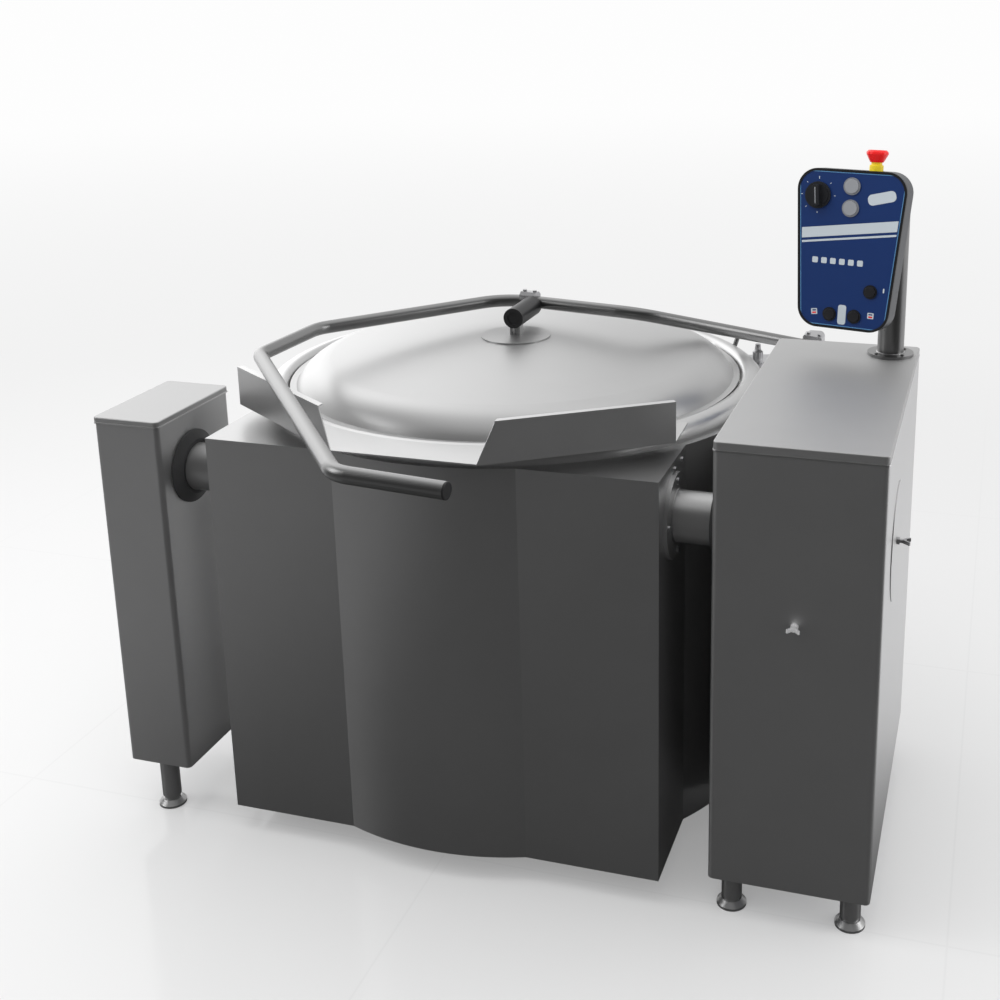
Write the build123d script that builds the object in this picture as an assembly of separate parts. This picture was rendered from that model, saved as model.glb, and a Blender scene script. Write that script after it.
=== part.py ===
from build123d import *
from math import asin, atan2, cos, degrees, pi, radians, sin, sqrt
import os

# Tilting cooking kettle hung between two pillars, in millimetres.
# +X to the operator's right, +Y to the back, +Z up, drum axis over X0 Y0, floor at Z0.

# Vessel, rim and casing
VESSEL_R = 450.0            # inner radius of the cooking vessel
VESSEL_WALL = 3.0
UNDER_VESSEL = 170.0        # casing floor up to the vessel's lowest point
DISH_CROWN = 2 * VESSEL_R
DISH_KNUCKLE = 95.0
JACKET_GAP = 27.0           # steam space between vessel wall and jacket
JACKET_WALL = 3.0
JACKET_HEIGHT = 475.0       # jacket's straight wall and dish below its closing ring
JACKET_SUMP = 80.0          # water space under the vessel's dish
LAG_CLEAR = 27.0            # air between the insulation and the casing
LAG_BOTTOM = 60.0           # insulation's lower edge above the jacket's lowest point
RIM_TOP = 893.0
RIM_MARGIN = 37.0           # vessel wall out to the rim's inner edge
RIM_ROLL = 16.0             # radius of the rim's rolled crest
RIM_SHEET = 3.0
RIM_RISE = 32.0             # rim above the casing's deck
SEAT_DEPTH = 24.0           # vessel flange below the rim's crest
SHOULDER_RUN = 35.0         # rim's crest out to the foot of its rounded shoulder
FLANGE_LAP = 8.0            # vessel flange under the rim
DRUM_LEDGE = 12.0           # deck left outside the shoulder's foot
DECK_LAP = 23.0             # deck left inside it
DECK_SKIRT = 11.0
FRONT_SETBACK = 32.0        # flat casing front behind the drum's foremost line
SIDE_SETBACK = 99.0         # flat casing sides inside the drum's widest line
CASING_BOTTOM = 56.0
CASING_SHEET = 2.0

# Tilt axis and trunnions
TILT_BACK = 107.0           # tilt axis behind the flat casing front
TILT_BELOW = 135.0          # and below the rim's crest
TRUNNION_R = 48.0
TRUNNION_WALL = 6.0
TRUNNION_FLANGE_R = 81.0
TRUNNION_FLANGE = 8.0
TRUNNION_BOLT_CIRCLE = 67.0
TRUNNION_BOLTS = 4
BOLT_R = 4.0
BOLT_CLEAR = 0.3
BOLT_HEAD_R = 6.8
BOLT_HEAD = 3.5
SHAFT_END = 12.0            # trunnion left past the last piece that it carries
BRACKET_PLATE = 10.0
BRACKET_HALF_LENGTH = 88.0
BRACKET_HALF_HEIGHT = 78.0
BRACKET_RIB_LOW = 40.0      # lower rib below the tilt axis
BRACKET_RIB_END = 120.0     # ribs' inner end from the middle, where they meet the vessel

# Pillars
LEFT_RUN_GAP = 18.0         # rim's foot to the left pillar
RIGHT_RUN_GAP = 6.0         # rim's foot to the right pillar
DRUM_RUN_GAP = 4.0          # drum's flats to the right pillar
LEFT_WIDTH = 144.0
LEFT_DEPTH = 256.0
LEFT_AHEAD = 109.0          # left pillar front, ahead of the tilt axis
LEFT_BOTTOM = 124.0
LEFT_TOP_BELOW = 9.0        # left pillar's top below the rim's crest
LEFT_SKIRT = 13.0
LEFT_OVERHANG = 1.5
RIGHT_WIDTH = 300.0
RIGHT_DEPTH = 706.0
RIGHT_AHEAD = 103.0
RIGHT_BOTTOM = 81.0
RIGHT_TOP_ABOVE = 51.0      # right pillar's top above the rim's crest
RIGHT_SKIRT = 18.0
PILLAR_SHEET = 2.0
PILLAR_CORNER = 10.0
CAP_ROUND = 2.5
BACK_RETURN = 22.0          # edge left round the opening in a pillar's back
BACK_INSET = 12.0           # back panel's edge inside the pillar's
BACK_CORNER = 6.0
FRAME_TUBE = 30.0
FRAME_WALL = 3.0
FRAME_CLEAR = 4.0
BASE_PLATE = 8.0
CARRIER_PLATE = 12.0
CARRIER_HALF = 95.0
CARRIER_CLEAR = 4.0         # trunnion in the carrier plate's hole
BEARING_FLANGE = 10.0
BEARING_HALF = 78.0
BEARING_CORNER = 18.0
BEARING_HUB_R = 66.0
BEARING_HUB = 36.0
BUSH_WALL = 6.0
RUN_CLEAR = 0.05            # radial running clearance of every shaft
SEAT_CLEAR = 0.3            # what seats but can part stands this far off
SEAL_R = 75.0
SEAL_LENGTH = 14.0
SEAL_LIP = 8.0
SEAL_EDGE = 4.0
SEAL_LAP = 14.0             # seal over the edge of the hole in the pillar

# Feet
FOOT_R = 28.5
FOOT_TUBE_R = 19.5
FOOT_GROOVE = 3.0
FOOT_INSET = 48.0
FOOT_FLANGE = 5.0
FOOT_CONE = 9.0
FOOT_THREAD = 8.0
LEFT_FOOT_OFFSET = 13.0     # left foot stands outboard of the pillar's middle
FOOT_SIDE_INSET = 38.0

# Tilt drive
GEAR_MODULE = 4.0
GEAR_TEETH = 42
PINION_TEETH = 14
GEAR_FACE = 24.0
GEAR_HUB_WALL = 12.0
GEAR_HUB_STEP = 8.0
GEAR_BACKLASH = 0.5
GEAR_SPREAD = 0.4           # extra centre distance
GEAR_GAP = 12.0             # bearing to wheel, and wheel to gearbox
PRESSURE_ANGLE = 20.0
ADDENDUM = 0.95             # in modules
DEDENDUM = 1.25
PINION_SHAFT_R = 12.0
PINION_SHAFT = 60.0         # pinion's shaft past its teeth
GEARBOX_LENGTH = 90.0
GEARBOX_DEPTH = 110.0
GEARBOX_HEIGHT = 144.0
GEARBOX_ROUND = 16.0
GEARBOX_FACE_R = 34.0
GEARBOX_FACE = 5.0
GEARBOX_PLATE = 8.0
GEARBOX_PLATE_EDGE = 10.0
MOTOR_R = 52.0
MOTOR_LENGTH = 170.0
MOTOR_FINS = 16
MOTOR_CHEEK = 22.0
FIN_GROOVE = 6.0
FIN_DEPTH = 4.0
TERMINAL_BOX = (68.0, 80.0, 40.0)
TERMINAL_SINK = 14.0
DRIVE_RAIL_OFFSET = 40.0
CONTROL_WIDTH = 180.0
CONTROL_DEPTH = 140.0
CONTROL_HEIGHT = 280.0
CONTROL_INSET = 60.0
CONTROL_SHEET = 2.0
CONTROL_BACK_GAP = 10.0
HANGER = 6.0
HANGER_WIDTH = 30.0

# Pouring lip and splash guides
LIP_REACH = 76.5            # lip's front edge ahead of the flat casing front
LIP_HALF_WIDTH = 142.0
LIP_BELOW = 1.0             # lip's top below the rim's crest
LIP_SHEET = 2.5
LIP_ROOT = 200.0            # lip's hidden point from the drum's axis, trimmed by the rim
GUIDE_END_INSET = 1.0       # guide's outer end inside the casing's side
GUIDE_END_BACK = 131.0      # and behind the flat casing front
LIP_TAIL_INSET = 5.0
LIP_TAIL_BACK = 242.0
GUIDE_HEIGHT = 76.0
GUIDE_SHEET = 2.0
GUIDE_INNER_RAKE = 36.0     # how far the inner end leans back along the guide
GUIDE_FLANGE = 13.0
GUIDE_FLANGE_RAKE = 6.0

# Lid
LID_EDGE_CLEAR = 3.0        # lid's edge inside the rim
LID_SEAT_BELOW = 11.0       # under side of the lid's flange, below the rim's crest
LID_HEIGHT = 81.0           # flange to the dome's top
LID_CROWN = 6 * VESSEL_R
LID_KNUCKLE = 100.0
LID_SHEET = 2.5
LID_BOSS_R = 75.0
LID_BOSS = 2.0
LID_BOSS_SINK = 4.0         # curved under side of the boss, trimmed by the dome
GASKET_WIDTH = 15.0
GASKET_INSET = 3.0

# Lid arm, a bow of tube with its runs on one level
ARM_R = 13.75
ARM_WALL = 2.5
ARM_OVER_LID = 45.0         # arm's level above the dome's top
ARM_BEND_B = (252.2, 79.4)
ARM_BEND_C = (-72.1, 140.1)
ARM_BEND_D = (-362.8, -211.7)
ARM_BEND_E = (-374.7, -424.7)
ARM_BEND_F = (70.4, -974.9)
ARM_GRIP_END = (259.0, -997.2)
ARM_RADII = (90.0, 110.0, 70.0, 50.0, 60.0)
ARM_PLUG = 3.0
ARM_PLUG_STEM = 16.0
ARM_PLUG_ROUND = 1.5
HINGE_OUT = 42.0            # hinge pin's axis outboard of the right pillar's inner wall
HINGE_BELOW = 21.0          # and below the rim's crest
HINGE_PIN_R = 10.0
PIN_HEAD_R = 14.0
PIN_HEAD = 6.0
KNUCKLE_WIDTH = 44.0
KNUCKLE_DEPTH = 34.0
KNUCKLE_HEIGHT = 56.0
KNUCKLE_TURN = 7.0          # knuckle leans with the tube
KNUCKLE_CHAMFER = 3.0
KNUCKLE_Y = 404.0
KNUCKLE_BORE = 27.0         # pin's depth in the knuckle
KNUCKLE_BOLT_OFFSET = 13.0
KNUCKLE_BOLT_R = 5.5
ARM_SEAT_OFFSET = 10.0      # tube's end short of the pin's axis
HINGE_BLOCK_LENGTH = 44.0
HINGE_BLOCK_ROUND = 12.0
HINGE_PLATE = 8.0
HINGE_PLATE_DROP = 36.0     # bracket's plate below the pin's axis
BRACKET_ROOT_ANGLES = (38.6, 46.3)
BRACKET_ROOT_SINK = 100.0
GUSSET_DEPTH = 70.0
GUSSET_TIP = 10.0
GUSSET_HALF_SHEET = 4.0
LID_PIN_DROP = 4.0          # lid's pin below the arm's axis
LID_PIN_R = 8.0
LID_EYE_R = 13.0
SLEEVE_R = 22.0
SLEEVE_FRONT = -15.0
SLEEVE_END = 5.0
SLEEVE_RING = 2.5
SLEEVE_GAP = 6.0            # sleeve's end short of the clamp, which stands at a slant
EYE_INSET = 6.0             # lid's eye inside the sleeve's front end
CLAMP_X = -12.0
CLAMP_LENGTH = 38.0
CLAMP_DEPTH = 30.0
CLAMP_HEIGHT = 46.0
CLAMP_CHAMFER = 7.0
CLAMP_BOLT_OFFSET = 12.7
CLAMP_BOLT_R = 5.0
STEM_R = 4.5
STEM_Y = 5.0
CHEEK = 3.5
CHEEK_DEPTH = 22.0
CHEEK_INSET = 1.5

# Control panel on its post
PANEL_OUT = 154.8           # panel's middle outboard of the right pillar's inner wall
PANEL_ABOVE = 231.8         # and above its top
PANEL_AHEAD = 79.0          # panel's face ahead of its post
PANEL_YAW = 12.9
PANEL_LEAN = 6.6
PANEL_TOP_WIDTH = 234.0
PANEL_BOTTOM_WIDTH = 187.0
PANEL_HEIGHT = 322.0
PANEL_DEPTH = 50.0
PANEL_CORNER = 42.0
PANEL_BACK_ROUND = 8.0
PANEL_RIM = 5.0
PANEL_RIM_DEPTH = 6.0
PANEL_PLATE = 3.0
PANEL_FACE_SINK = 1.0       # panel's face behind its rim
PANEL_WALL = 3.0
POST_OUT = 244.0
POST_FROM_BACK = 73.0       # post ahead of the right pillar's back
POST_R = 27.3
POST_WALL = 3.0
POST_HEIGHT = 318.0
POST_CAP = 3.0
POST_FLANGE_R = 47.2
POST_FLANGE = 6.0
POST_BOLTS = 4
POST_BOLT_HEAD = 2.5
SADDLE_HALF_WIDTH = 22.0
SADDLE_HALF_HEIGHT = 60.0
SADDLE_DEPTH = 92.0
SADDLE_OFFSET = 5.0
KNOB_AT = (-69.0, 107.0)
KNOB_R = 27.0
KNOB_SKIRT = 4.0
KNOB_HEIGHT = 19.0
KNOB_TAPER = 6.0
KNOB_GRIP = 15.0            # width of the bar across the knob
KNOB_GRIP_BASE = 6.0
KNOB_TURN = 5.0
KNOB_SHAFT_R = 4.0
KNOB_SHAFT = 14.0
REGULATOR = (42.0, 36.0, 30.0)
GREY_AT = ((1.0, 128.6), (1.0, 84.7))
GREY_R = 17.5
BLACK_AT = ((55.0, -79.0), (-27.0, -132.0), (25.0, -132.0))
BLACK_R = 14.0
BEZEL = 2.8                 # width and height of a button's ring
BUTTON_TRAVEL = 2.5
BUTTON_CLEAR = 0.3
BUTTON_PROUD = 1.2
BUTTON_ROUND = 1.0
PLUNGER_R = 4.0
PLUNGER = 8.0
SWITCH_BLOCK = 26.0
STOP_AT = 39.5
STOP_BEHIND = 1.0           # stop button's axis behind the middle of the housing
STOP_R = 22.0
STOP_NECK_R = 13.5
STOP_HEIGHT = 24.0
STOP_EDGE = 4.0
STOP_TRAVEL = 5.0
STOP_GAP = 0.5
STOP_STEM_R = 8.0
STOP_STEM = 12.0
STOP_COLLAR_R = 14.0
STOP_COLLAR = 12.0
STOP_COLLAR_ROUND = 1.5
STOP_GUARD_R = 11.0         # collar's upper ring, which the cap slides over
STOP_GUARD = 7.0

# Wing latches and side cover
LATCH_R = 7.0
LATCH_BASE = 5.0
LATCH_NECK_R = 4.0
LATCH_REACH = 17.0
LATCH_BEHIND = 6.0
LATCH_WING = (3.0, 7.0, 17.0)
LATCH_WING_OFFSET = 5.5
LATCH_WING_LEAN = 38.0
LATCH_TONGUE = (16.0, 44.0, 3.0)
LATCH_TONGUE_DROP = 14.0
LATCH_TONGUE_ROUND = 5.0
SIDE_COVER_R = 112.0
SIDE_COVER_LAP = 14.0
SIDE_COVER_BACK = 126.0     # cover's middle behind the tilt axis
SIDE_COVER_DROP = 58.0
FRONT_LATCH_DROP = 140.0

# Fittings behind the drum
VALVE_ANGLE = 33.86
VALVE_OUT = 20.8            # valve's axis outside the drum
VALVE_R = 12.0
VALVE_DROP = 46.0           # valve's flange below the rim's crest
VALVE_STEM = 39.0
VALVE_PIPE_R = 7.0
VALVE_ELBOW_R = 9.0
VENT_ANGLE = 41.3
VENT_RISE = 68.0
VENT_OUT = 5.0              # vent's foot outside the shoulder's foot
VENT_R = 5.5
VENT_LENGTH = 52.0
VENT_CAP = 9.0
VENT_CAP_EDGE = 2.5
ELEMENT_R = 6.0
ELEMENT_ROWS = 3
ELEMENT_SPACING = 110.0
ELEMENT_LENGTH = 380.0
ELEMENT_LANE = 26.0
ELEMENT_BEND = 12.0
ELEMENT_TAIL = 24.0
ELEMENT_LEVEL = 0.62        # elements' height in the sump

PAST = 20.0                 # how far a cutting tool runs past what it cuts

# Places worked out from the sizes above
RIM_INNER_R = VESSEL_R + RIM_MARGIN
RIM_CREST_R = RIM_INNER_R + RIM_ROLL
VESSEL_FLANGE_R = RIM_INNER_R + FLANGE_LAP
SHOULDER_R = RIM_CREST_R + SHOULDER_RUN
DRUM_R = SHOULDER_R + DRUM_LEDGE
DECK_HOLE_R = SHOULDER_R - DECK_LAP
CASING_HALF_WIDTH = DRUM_R - SIDE_SETBACK
CASING_FRONT = DRUM_R - FRONT_SETBACK
CASING_TOP = RIM_TOP - RIM_RISE
VESSEL_SEAT_Z = RIM_TOP - SEAT_DEPTH
VESSEL_DEPTH = VESSEL_SEAT_Z - VESSEL_WALL - CASING_BOTTOM - UNDER_VESSEL
JACKET_R = VESSEL_R + VESSEL_WALL + JACKET_GAP + JACKET_WALL
TILT_Y = TILT_BACK - CASING_FRONT
TILT_Z = RIM_TOP - TILT_BELOW
LEFT_WALL_X = -(SHOULDER_R + LEFT_RUN_GAP)
RIGHT_WALL_X = SHOULDER_R + RIGHT_RUN_GAP
DRUM_FLAT_X = RIGHT_WALL_X - DRUM_RUN_GAP
LEFT_TOP = RIM_TOP - LEFT_TOP_BELOW
RIGHT_TOP = RIM_TOP + RIGHT_TOP_ABOVE
RIGHT_FRONT_Y = TILT_Y - RIGHT_AHEAD
RIGHT_BACK_Y = RIGHT_FRONT_Y + RIGHT_DEPTH
RIGHT_FAR_X = RIGHT_WALL_X + RIGHT_WIDTH
BEARING_START = PILLAR_SHEET + FRAME_CLEAR + FRAME_TUBE + CARRIER_PLATE
GEAR_START = BEARING_START + BEARING_HUB + GEAR_GAP
GEAR_PITCH_R = GEAR_MODULE * GEAR_TEETH / 2
PINION_PITCH_R = GEAR_MODULE * PINION_TEETH / 2
PINION_Y = TILT_Y + GEAR_PITCH_R + PINION_PITCH_R + GEAR_SPREAD
LIP_FRONT = CASING_FRONT + LIP_REACH
LIP_TOP = RIM_TOP - LIP_BELOW
GUIDE_END = (CASING_HALF_WIDTH - GUIDE_END_INSET, GUIDE_END_BACK - CASING_FRONT)
LIP_TAIL = (CASING_HALF_WIDTH - LIP_TAIL_INSET, LIP_TAIL_BACK - CASING_FRONT)
LID_R = RIM_INNER_R - LID_EDGE_CLEAR
LID_SEAT = RIM_TOP - LID_SEAT_BELOW
LID_TOP = LID_SEAT + LID_HEIGHT
ARM_Z = LID_TOP + ARM_OVER_LID
LID_PIN_Z = ARM_Z - LID_PIN_DROP
HINGE_X = RIGHT_WALL_X + HINGE_OUT
HINGE_Z = RIM_TOP - HINGE_BELOW
HINGE_BLOCK_Y = KNUCKLE_Y + KNUCKLE_DEPTH / 2 + SEAT_CLEAR
PIN_START_Y = KNUCKLE_Y + KNUCKLE_DEPTH / 2 - KNUCKLE_BORE
POST_X = RIGHT_WALL_X + POST_OUT
POST_Y = RIGHT_BACK_Y - POST_FROM_BACK

NODES = {}


def keep(name, shape):
    """File a piece under its node name."""
    NODES[name] = shape
    return shape


def rod(radius, height):
    return Cylinder(radius, height, align=(Align.CENTER, Align.CENTER, Align.MIN))


def tube(outer, inner, height):
    return rod(outer, height) - rod(inner, height)


def along_x(shape, x, y, z):
    """Turn a piece built along +Z to lie along +X from the given point."""
    return Pos(x, y, z) * Rot(0, 90, 0) * shape


def along_y(shape, x, y, z):
    """Turn a piece built along +Z to lie along +Y from the given point."""
    return Pos(x, y, z) * Rot(-90, 0, 0) * shape


def block(x0, x1, y0, y1, z0, z1):
    """A box between two corners."""
    centre = Pos((x0 + x1) / 2, (y0 + y1) / 2, (z0 + z1) / 2)
    return centre * Box(x1 - x0, y1 - y0, z1 - z0)


def spin(points):
    """A solid turned about Z from (radius, height) corners."""
    face = make_face(Polyline(*points, close=True))
    return revolve(Plane.XZ * face, axis=Axis.Z)


def hexagon(radius, height):
    return extrude(RegularPolygon(radius, 6), amount=height)


def polar(radius, angle):
    """A point at a radius and an angle in degrees from +X."""
    return radius * cos(radians(angle)), radius * sin(radians(angle))


def domed(edge_r, crown_r, knuckle_r, apex, base):
    """A solid under a crown and a knuckle, from a flat base up to its apex."""
    crown_z = apex - crown_r
    knuckle_x = edge_r - knuckle_r
    knuckle_z = crown_z + sqrt((crown_r - knuckle_r) ** 2 - knuckle_x**2)
    joint = degrees(atan2(knuckle_z - crown_z, knuckle_x))
    last = degrees(asin((base - knuckle_z) / knuckle_r)) if base > knuckle_z else 0.0
    crown = CenterArc((0, crown_z), crown_r, 90, joint - 90)
    knuckle = CenterArc((knuckle_x, knuckle_z), knuckle_r, joint, last - joint)
    end = knuckle @ 1
    foot = (edge_r, base) if base <= knuckle_z else (end.X, end.Y)
    edges = [crown, knuckle]
    if base < knuckle_z:
        edges.append(Line((end.X, end.Y), foot))
    edges += [Line(foot, (0, base)), Line((0, base), (0, apex))]
    return revolve(Plane.XZ * make_face(edges), axis=Axis.Z)


def dished_bowl(edge_r, wall, depth, top_z):
    """A dished shell, open at the top."""
    outer = domed(edge_r, DISH_CROWN, DISH_KNUCKLE, depth, 0)
    inner = domed(edge_r - wall, DISH_CROWN - wall, DISH_KNUCKLE - wall, depth - wall, 0)
    return Pos(0, 0, top_z) * Rot(180, 0, 0) * (outer - inner)


# Kettle

def casing_outline(inset):
    """The casing seen from above: a drum with flats beside the pillars, run into a flat-fronted box."""
    half = CASING_HALF_WIDTH - inset
    front = CASING_FRONT - inset
    drum = Circle(DRUM_R - inset) & Rectangle(2 * (DRUM_FLAT_X - inset), 2 * DRUM_R)
    return Pos(0, -front / 2) * Rectangle(2 * half, front) + drum


def casing():
    bottom = CASING_BOTTOM + CASING_SHEET
    height = CASING_TOP - DECK_SKIRT - bottom
    shell = extrude(casing_outline(0), height) - extrude(casing_outline(CASING_SHEET), height)
    shell = Pos(0, 0, bottom) * shell
    reach = CASING_HALF_WIDTH + PAST
    shell -= along_x(rod(TRUNNION_R - TRUNNION_WALL, 2 * reach), -reach, TILT_Y, TILT_Z)
    for side in (-1, 1):
        shell -= bolt_holes(side, CASING_HALF_WIDTH)
    keep("kettle_casing", shell)
    keep("casing_floor", Pos(0, 0, CASING_BOTTOM) * extrude(casing_outline(0), CASING_SHEET))
    deck = extrude(casing_outline(0), DECK_SKIRT)
    deck -= extrude(casing_outline(CASING_SHEET), DECK_SKIRT - CASING_SHEET)
    deck -= rod(DECK_HOLE_R, DECK_SKIRT)
    keep("casing_deck", Pos(0, 0, CASING_TOP - DECK_SKIRT) * deck)


def shoulder_arc(inset=0.0):
    """The quarter ellipse of the rim's shoulder."""
    run = SHOULDER_RUN - inset
    rise = RIM_RISE - inset
    return EllipticalCenterArc((RIM_CREST_R, CASING_TOP), run, rise, start_angle=0, arc_size=90)


def rim():
    """The rim's profile: an upright inner edge, a rolled crest and a rounded shoulder."""
    roll_z = RIM_TOP - RIM_ROLL
    sheet_r = RIM_INNER_R + RIM_SHEET
    edges = [
        shoulder_arc(),
        CenterArc((RIM_CREST_R, roll_z), RIM_ROLL, 90, 90),
        Line((RIM_INNER_R, roll_z), (RIM_INNER_R, VESSEL_SEAT_Z)),
        Line((RIM_INNER_R, VESSEL_SEAT_Z), (sheet_r, VESSEL_SEAT_Z)),
        Line((sheet_r, VESSEL_SEAT_Z), (sheet_r, roll_z)),
        CenterArc((RIM_CREST_R, roll_z), RIM_ROLL - RIM_SHEET, 180, -90),
        shoulder_arc(RIM_SHEET),
        Line((SHOULDER_R - RIM_SHEET, CASING_TOP), (SHOULDER_R, CASING_TOP)),
    ]
    keep("kettle_rim", revolve(Plane.XZ * make_face(edges), axis=Axis.Z))


def rim_body():
    """The rim's outer form as a solid, to trim what meets it."""
    edges = [
        shoulder_arc(),
        Line((RIM_CREST_R, RIM_TOP), (0, RIM_TOP)),
        Line((0, RIM_TOP), (0, CASING_TOP)),
        Line((0, CASING_TOP), (SHOULDER_R, CASING_TOP)),
    ]
    return revolve(Plane.XZ * make_face(edges), axis=Axis.Z)


def vessel():
    flange_z = VESSEL_SEAT_Z - VESSEL_WALL
    bowl = dished_bowl(VESSEL_R + VESSEL_WALL, VESSEL_WALL, VESSEL_DEPTH, flange_z)
    flange = Pos(0, 0, flange_z) * tube(VESSEL_FLANGE_R, VESSEL_R, VESSEL_WALL)
    keep("inner_vessel", bowl + flange)


def element_path(y, dish_z):
    """One heating element, a hairpin with both tails through the jacket's dish."""
    half = ELEMENT_LENGTH / 2
    level = dish_z + JACKET_SUMP * ELEMENT_LEVEL
    tail = dish_z - ELEMENT_TAIL
    return FilletPolyline(
        (half, y - ELEMENT_LANE, tail),
        (half, y - ELEMENT_LANE, level),
        (-half, y - ELEMENT_LANE, level),
        (-half, y + ELEMENT_LANE, level),
        (half, y + ELEMENT_LANE, level),
        (half, y + ELEMENT_LANE, tail),
        radius=ELEMENT_BEND,
    )


def jacket():
    dish_z = VESSEL_SEAT_Z - VESSEL_WALL - VESSEL_DEPTH - JACKET_SUMP - JACKET_WALL
    top_z = dish_z + JACKET_HEIGHT
    shell = dished_bowl(JACKET_R, JACKET_WALL, JACKET_HEIGHT, top_z)
    shell += Pos(0, 0, top_z) * tube(JACKET_R, VESSEL_R + VESSEL_WALL, JACKET_WALL)
    elements = []
    for row in range(ELEMENT_ROWS):
        y = (row - (ELEMENT_ROWS - 1) / 2) * ELEMENT_SPACING
        path = element_path(y, dish_z)
        section = Plane(origin=path @ 0, z_dir=path % 0) * Circle(ELEMENT_R)
        elements.append(sweep(section, path=path))
        for lane in (-ELEMENT_LANE, ELEMENT_LANE):
            bore = rod(ELEMENT_R + RUN_CLEAR, ELEMENT_TAIL + JACKET_SUMP)
            shell -= Pos(ELEMENT_LENGTH / 2, y + lane, dish_z - ELEMENT_TAIL) * bore
    keep("steam_jacket", shell)
    keep("heating_elements", Compound(children=elements))
    lag_z = dish_z + LAG_BOTTOM
    lag = tube(DRUM_FLAT_X - CASING_SHEET - LAG_CLEAR + DRUM_LEDGE, JACKET_R, top_z - lag_z)
    keep("insulation_wrap", Pos(0, 0, lag_z) * lag)


def bolt_places():
    """The Y and Z of each bolt in a trunnion's flange."""
    for step in range(TRUNNION_BOLTS):
        y, z = polar(TRUNNION_BOLT_CIRCLE, 360 * step / TRUNNION_BOLTS)
        yield TILT_Y + y, TILT_Z + z


def bolt_holes(side, face):
    """The bolt pattern of a trunnion flange as rods to cut, on one side."""
    start = side * face - PAST
    return [along_x(rod(BOLT_R + BOLT_CLEAR, 2 * PAST), start, y, z) for y, z in bolt_places()]


def trunnion_bracket():
    """Plate inside the casing's right side, with two ribs to the vessel's wall."""
    plate_x = CASING_HALF_WIDTH - CASING_SHEET
    root_x = plate_x - BRACKET_PLATE
    y0 = TILT_Y - BRACKET_HALF_LENGTH
    y1 = TILT_Y + BRACKET_HALF_LENGTH
    top = TILT_Z + BRACKET_HALF_HEIGHT
    plate = block(root_x, plate_x, y0, y1, TILT_Z - BRACKET_HALF_HEIGHT, top)
    plate -= bolt_holes(1, plate_x)
    plate -= along_x(rod(TRUNNION_R - TRUNNION_WALL, 2 * PAST), plate_x - PAST, TILT_Y, TILT_Z)
    for z0 in (TILT_Z - BRACKET_RIB_LOW, top - BRACKET_PLATE):
        rib = block(BRACKET_RIB_END, root_x, y0, y1, z0, z0 + BRACKET_PLATE)
        plate += rib - Pos(0, 0, z0) * rod(VESSEL_R + VESSEL_WALL, BRACKET_PLATE)
    return plate


def trunnions():
    brackets = []
    bolts = []
    bolt_seat = CASING_HALF_WIDTH + TRUNNION_FLANGE
    shank = TRUNNION_FLANGE + CASING_SHEET + BRACKET_PLATE
    bolt = rod(BOLT_R, shank) + Pos(0, 0, shank) * rod(BOLT_HEAD_R, BOLT_HEAD)
    ends = (
        ("left_trunnion", -1, -LEFT_WALL_X + BEARING_START + BEARING_HUB + SHAFT_END),
        ("right_trunnion", 1, RIGHT_WALL_X + GEAR_START + GEAR_FACE + GEAR_HUB_STEP / 2 + SHAFT_END),
    )
    for name, side, end_x in ends:
        shaft = tube(TRUNNION_R, TRUNNION_R - TRUNNION_WALL, end_x - CASING_HALF_WIDTH)
        flange = tube(TRUNNION_FLANGE_R, TRUNNION_R - TRUNNION_WALL, TRUNNION_FLANGE)
        piece = along_x(shaft + flange, CASING_HALF_WIDTH, TILT_Y, TILT_Z)
        piece -= bolt_holes(1, CASING_HALF_WIDTH)
        pieces = [piece, trunnion_bracket()]
        pieces += [along_x(bolt, bolt_seat - shank, y, z) for y, z in bolt_places()]
        if side < 0:
            pieces = [mirror(part, about=Plane.YZ) for part in pieces]
        keep(name, pieces[0])
        brackets.append(pieces[1])
        bolts += pieces[2:]
    keep("trunnion_brackets", Compound(children=brackets))
    keep("trunnion_bolts", Compound(children=bolts))


def splash_guide():
    """Right guide: an upright sheet along the lip's slanted edge, with a turned-in top."""
    heading = Vector(GUIDE_END[0] - LIP_HALF_WIDTH, GUIDE_END[1] + LIP_FRONT, 0)
    length = heading.length
    corner = Vector(LIP_HALF_WIDTH, -LIP_FRONT, LIP_TOP)
    wall_plane = Plane(origin=corner, x_dir=heading, z_dir=heading.cross(Vector(0, 0, 1)))
    side = Polyline(
        (0, 0), (length, 0), (length, GUIDE_HEIGHT), (GUIDE_INNER_RAKE, GUIDE_HEIGHT), close=True
    )
    wall = extrude(wall_plane * make_face(side), -GUIDE_SHEET)
    shelf_plane = Plane(origin=corner + Vector(0, 0, GUIDE_HEIGHT), x_dir=heading, z_dir=(0, 0, 1))
    shelf = Polyline(
        (GUIDE_INNER_RAKE - GUIDE_SHEET, 0),
        (length, 0),
        (length, GUIDE_FLANGE),
        (GUIDE_INNER_RAKE + GUIDE_FLANGE_RAKE, GUIDE_FLANGE),
        close=True,
    )
    return wall + extrude(shelf_plane * make_face(shelf), -GUIDE_SHEET)


def lip_and_guides():
    right_side = [(LIP_HALF_WIDTH, -LIP_FRONT), GUIDE_END, LIP_TAIL]
    left_side = [(-x, y) for x, y in reversed(right_side)]
    outline = Polyline(*right_side, (0, -LIP_ROOT), *left_side, close=True)
    sheet = Pos(0, 0, LIP_TOP - LIP_SHEET) * extrude(make_face(outline), LIP_SHEET)
    keep("pouring_lip", sheet - rim_body())
    guide = splash_guide()
    keep("splash_guides", Compound(children=[guide, mirror(guide, about=Plane.YZ)]))


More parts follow.
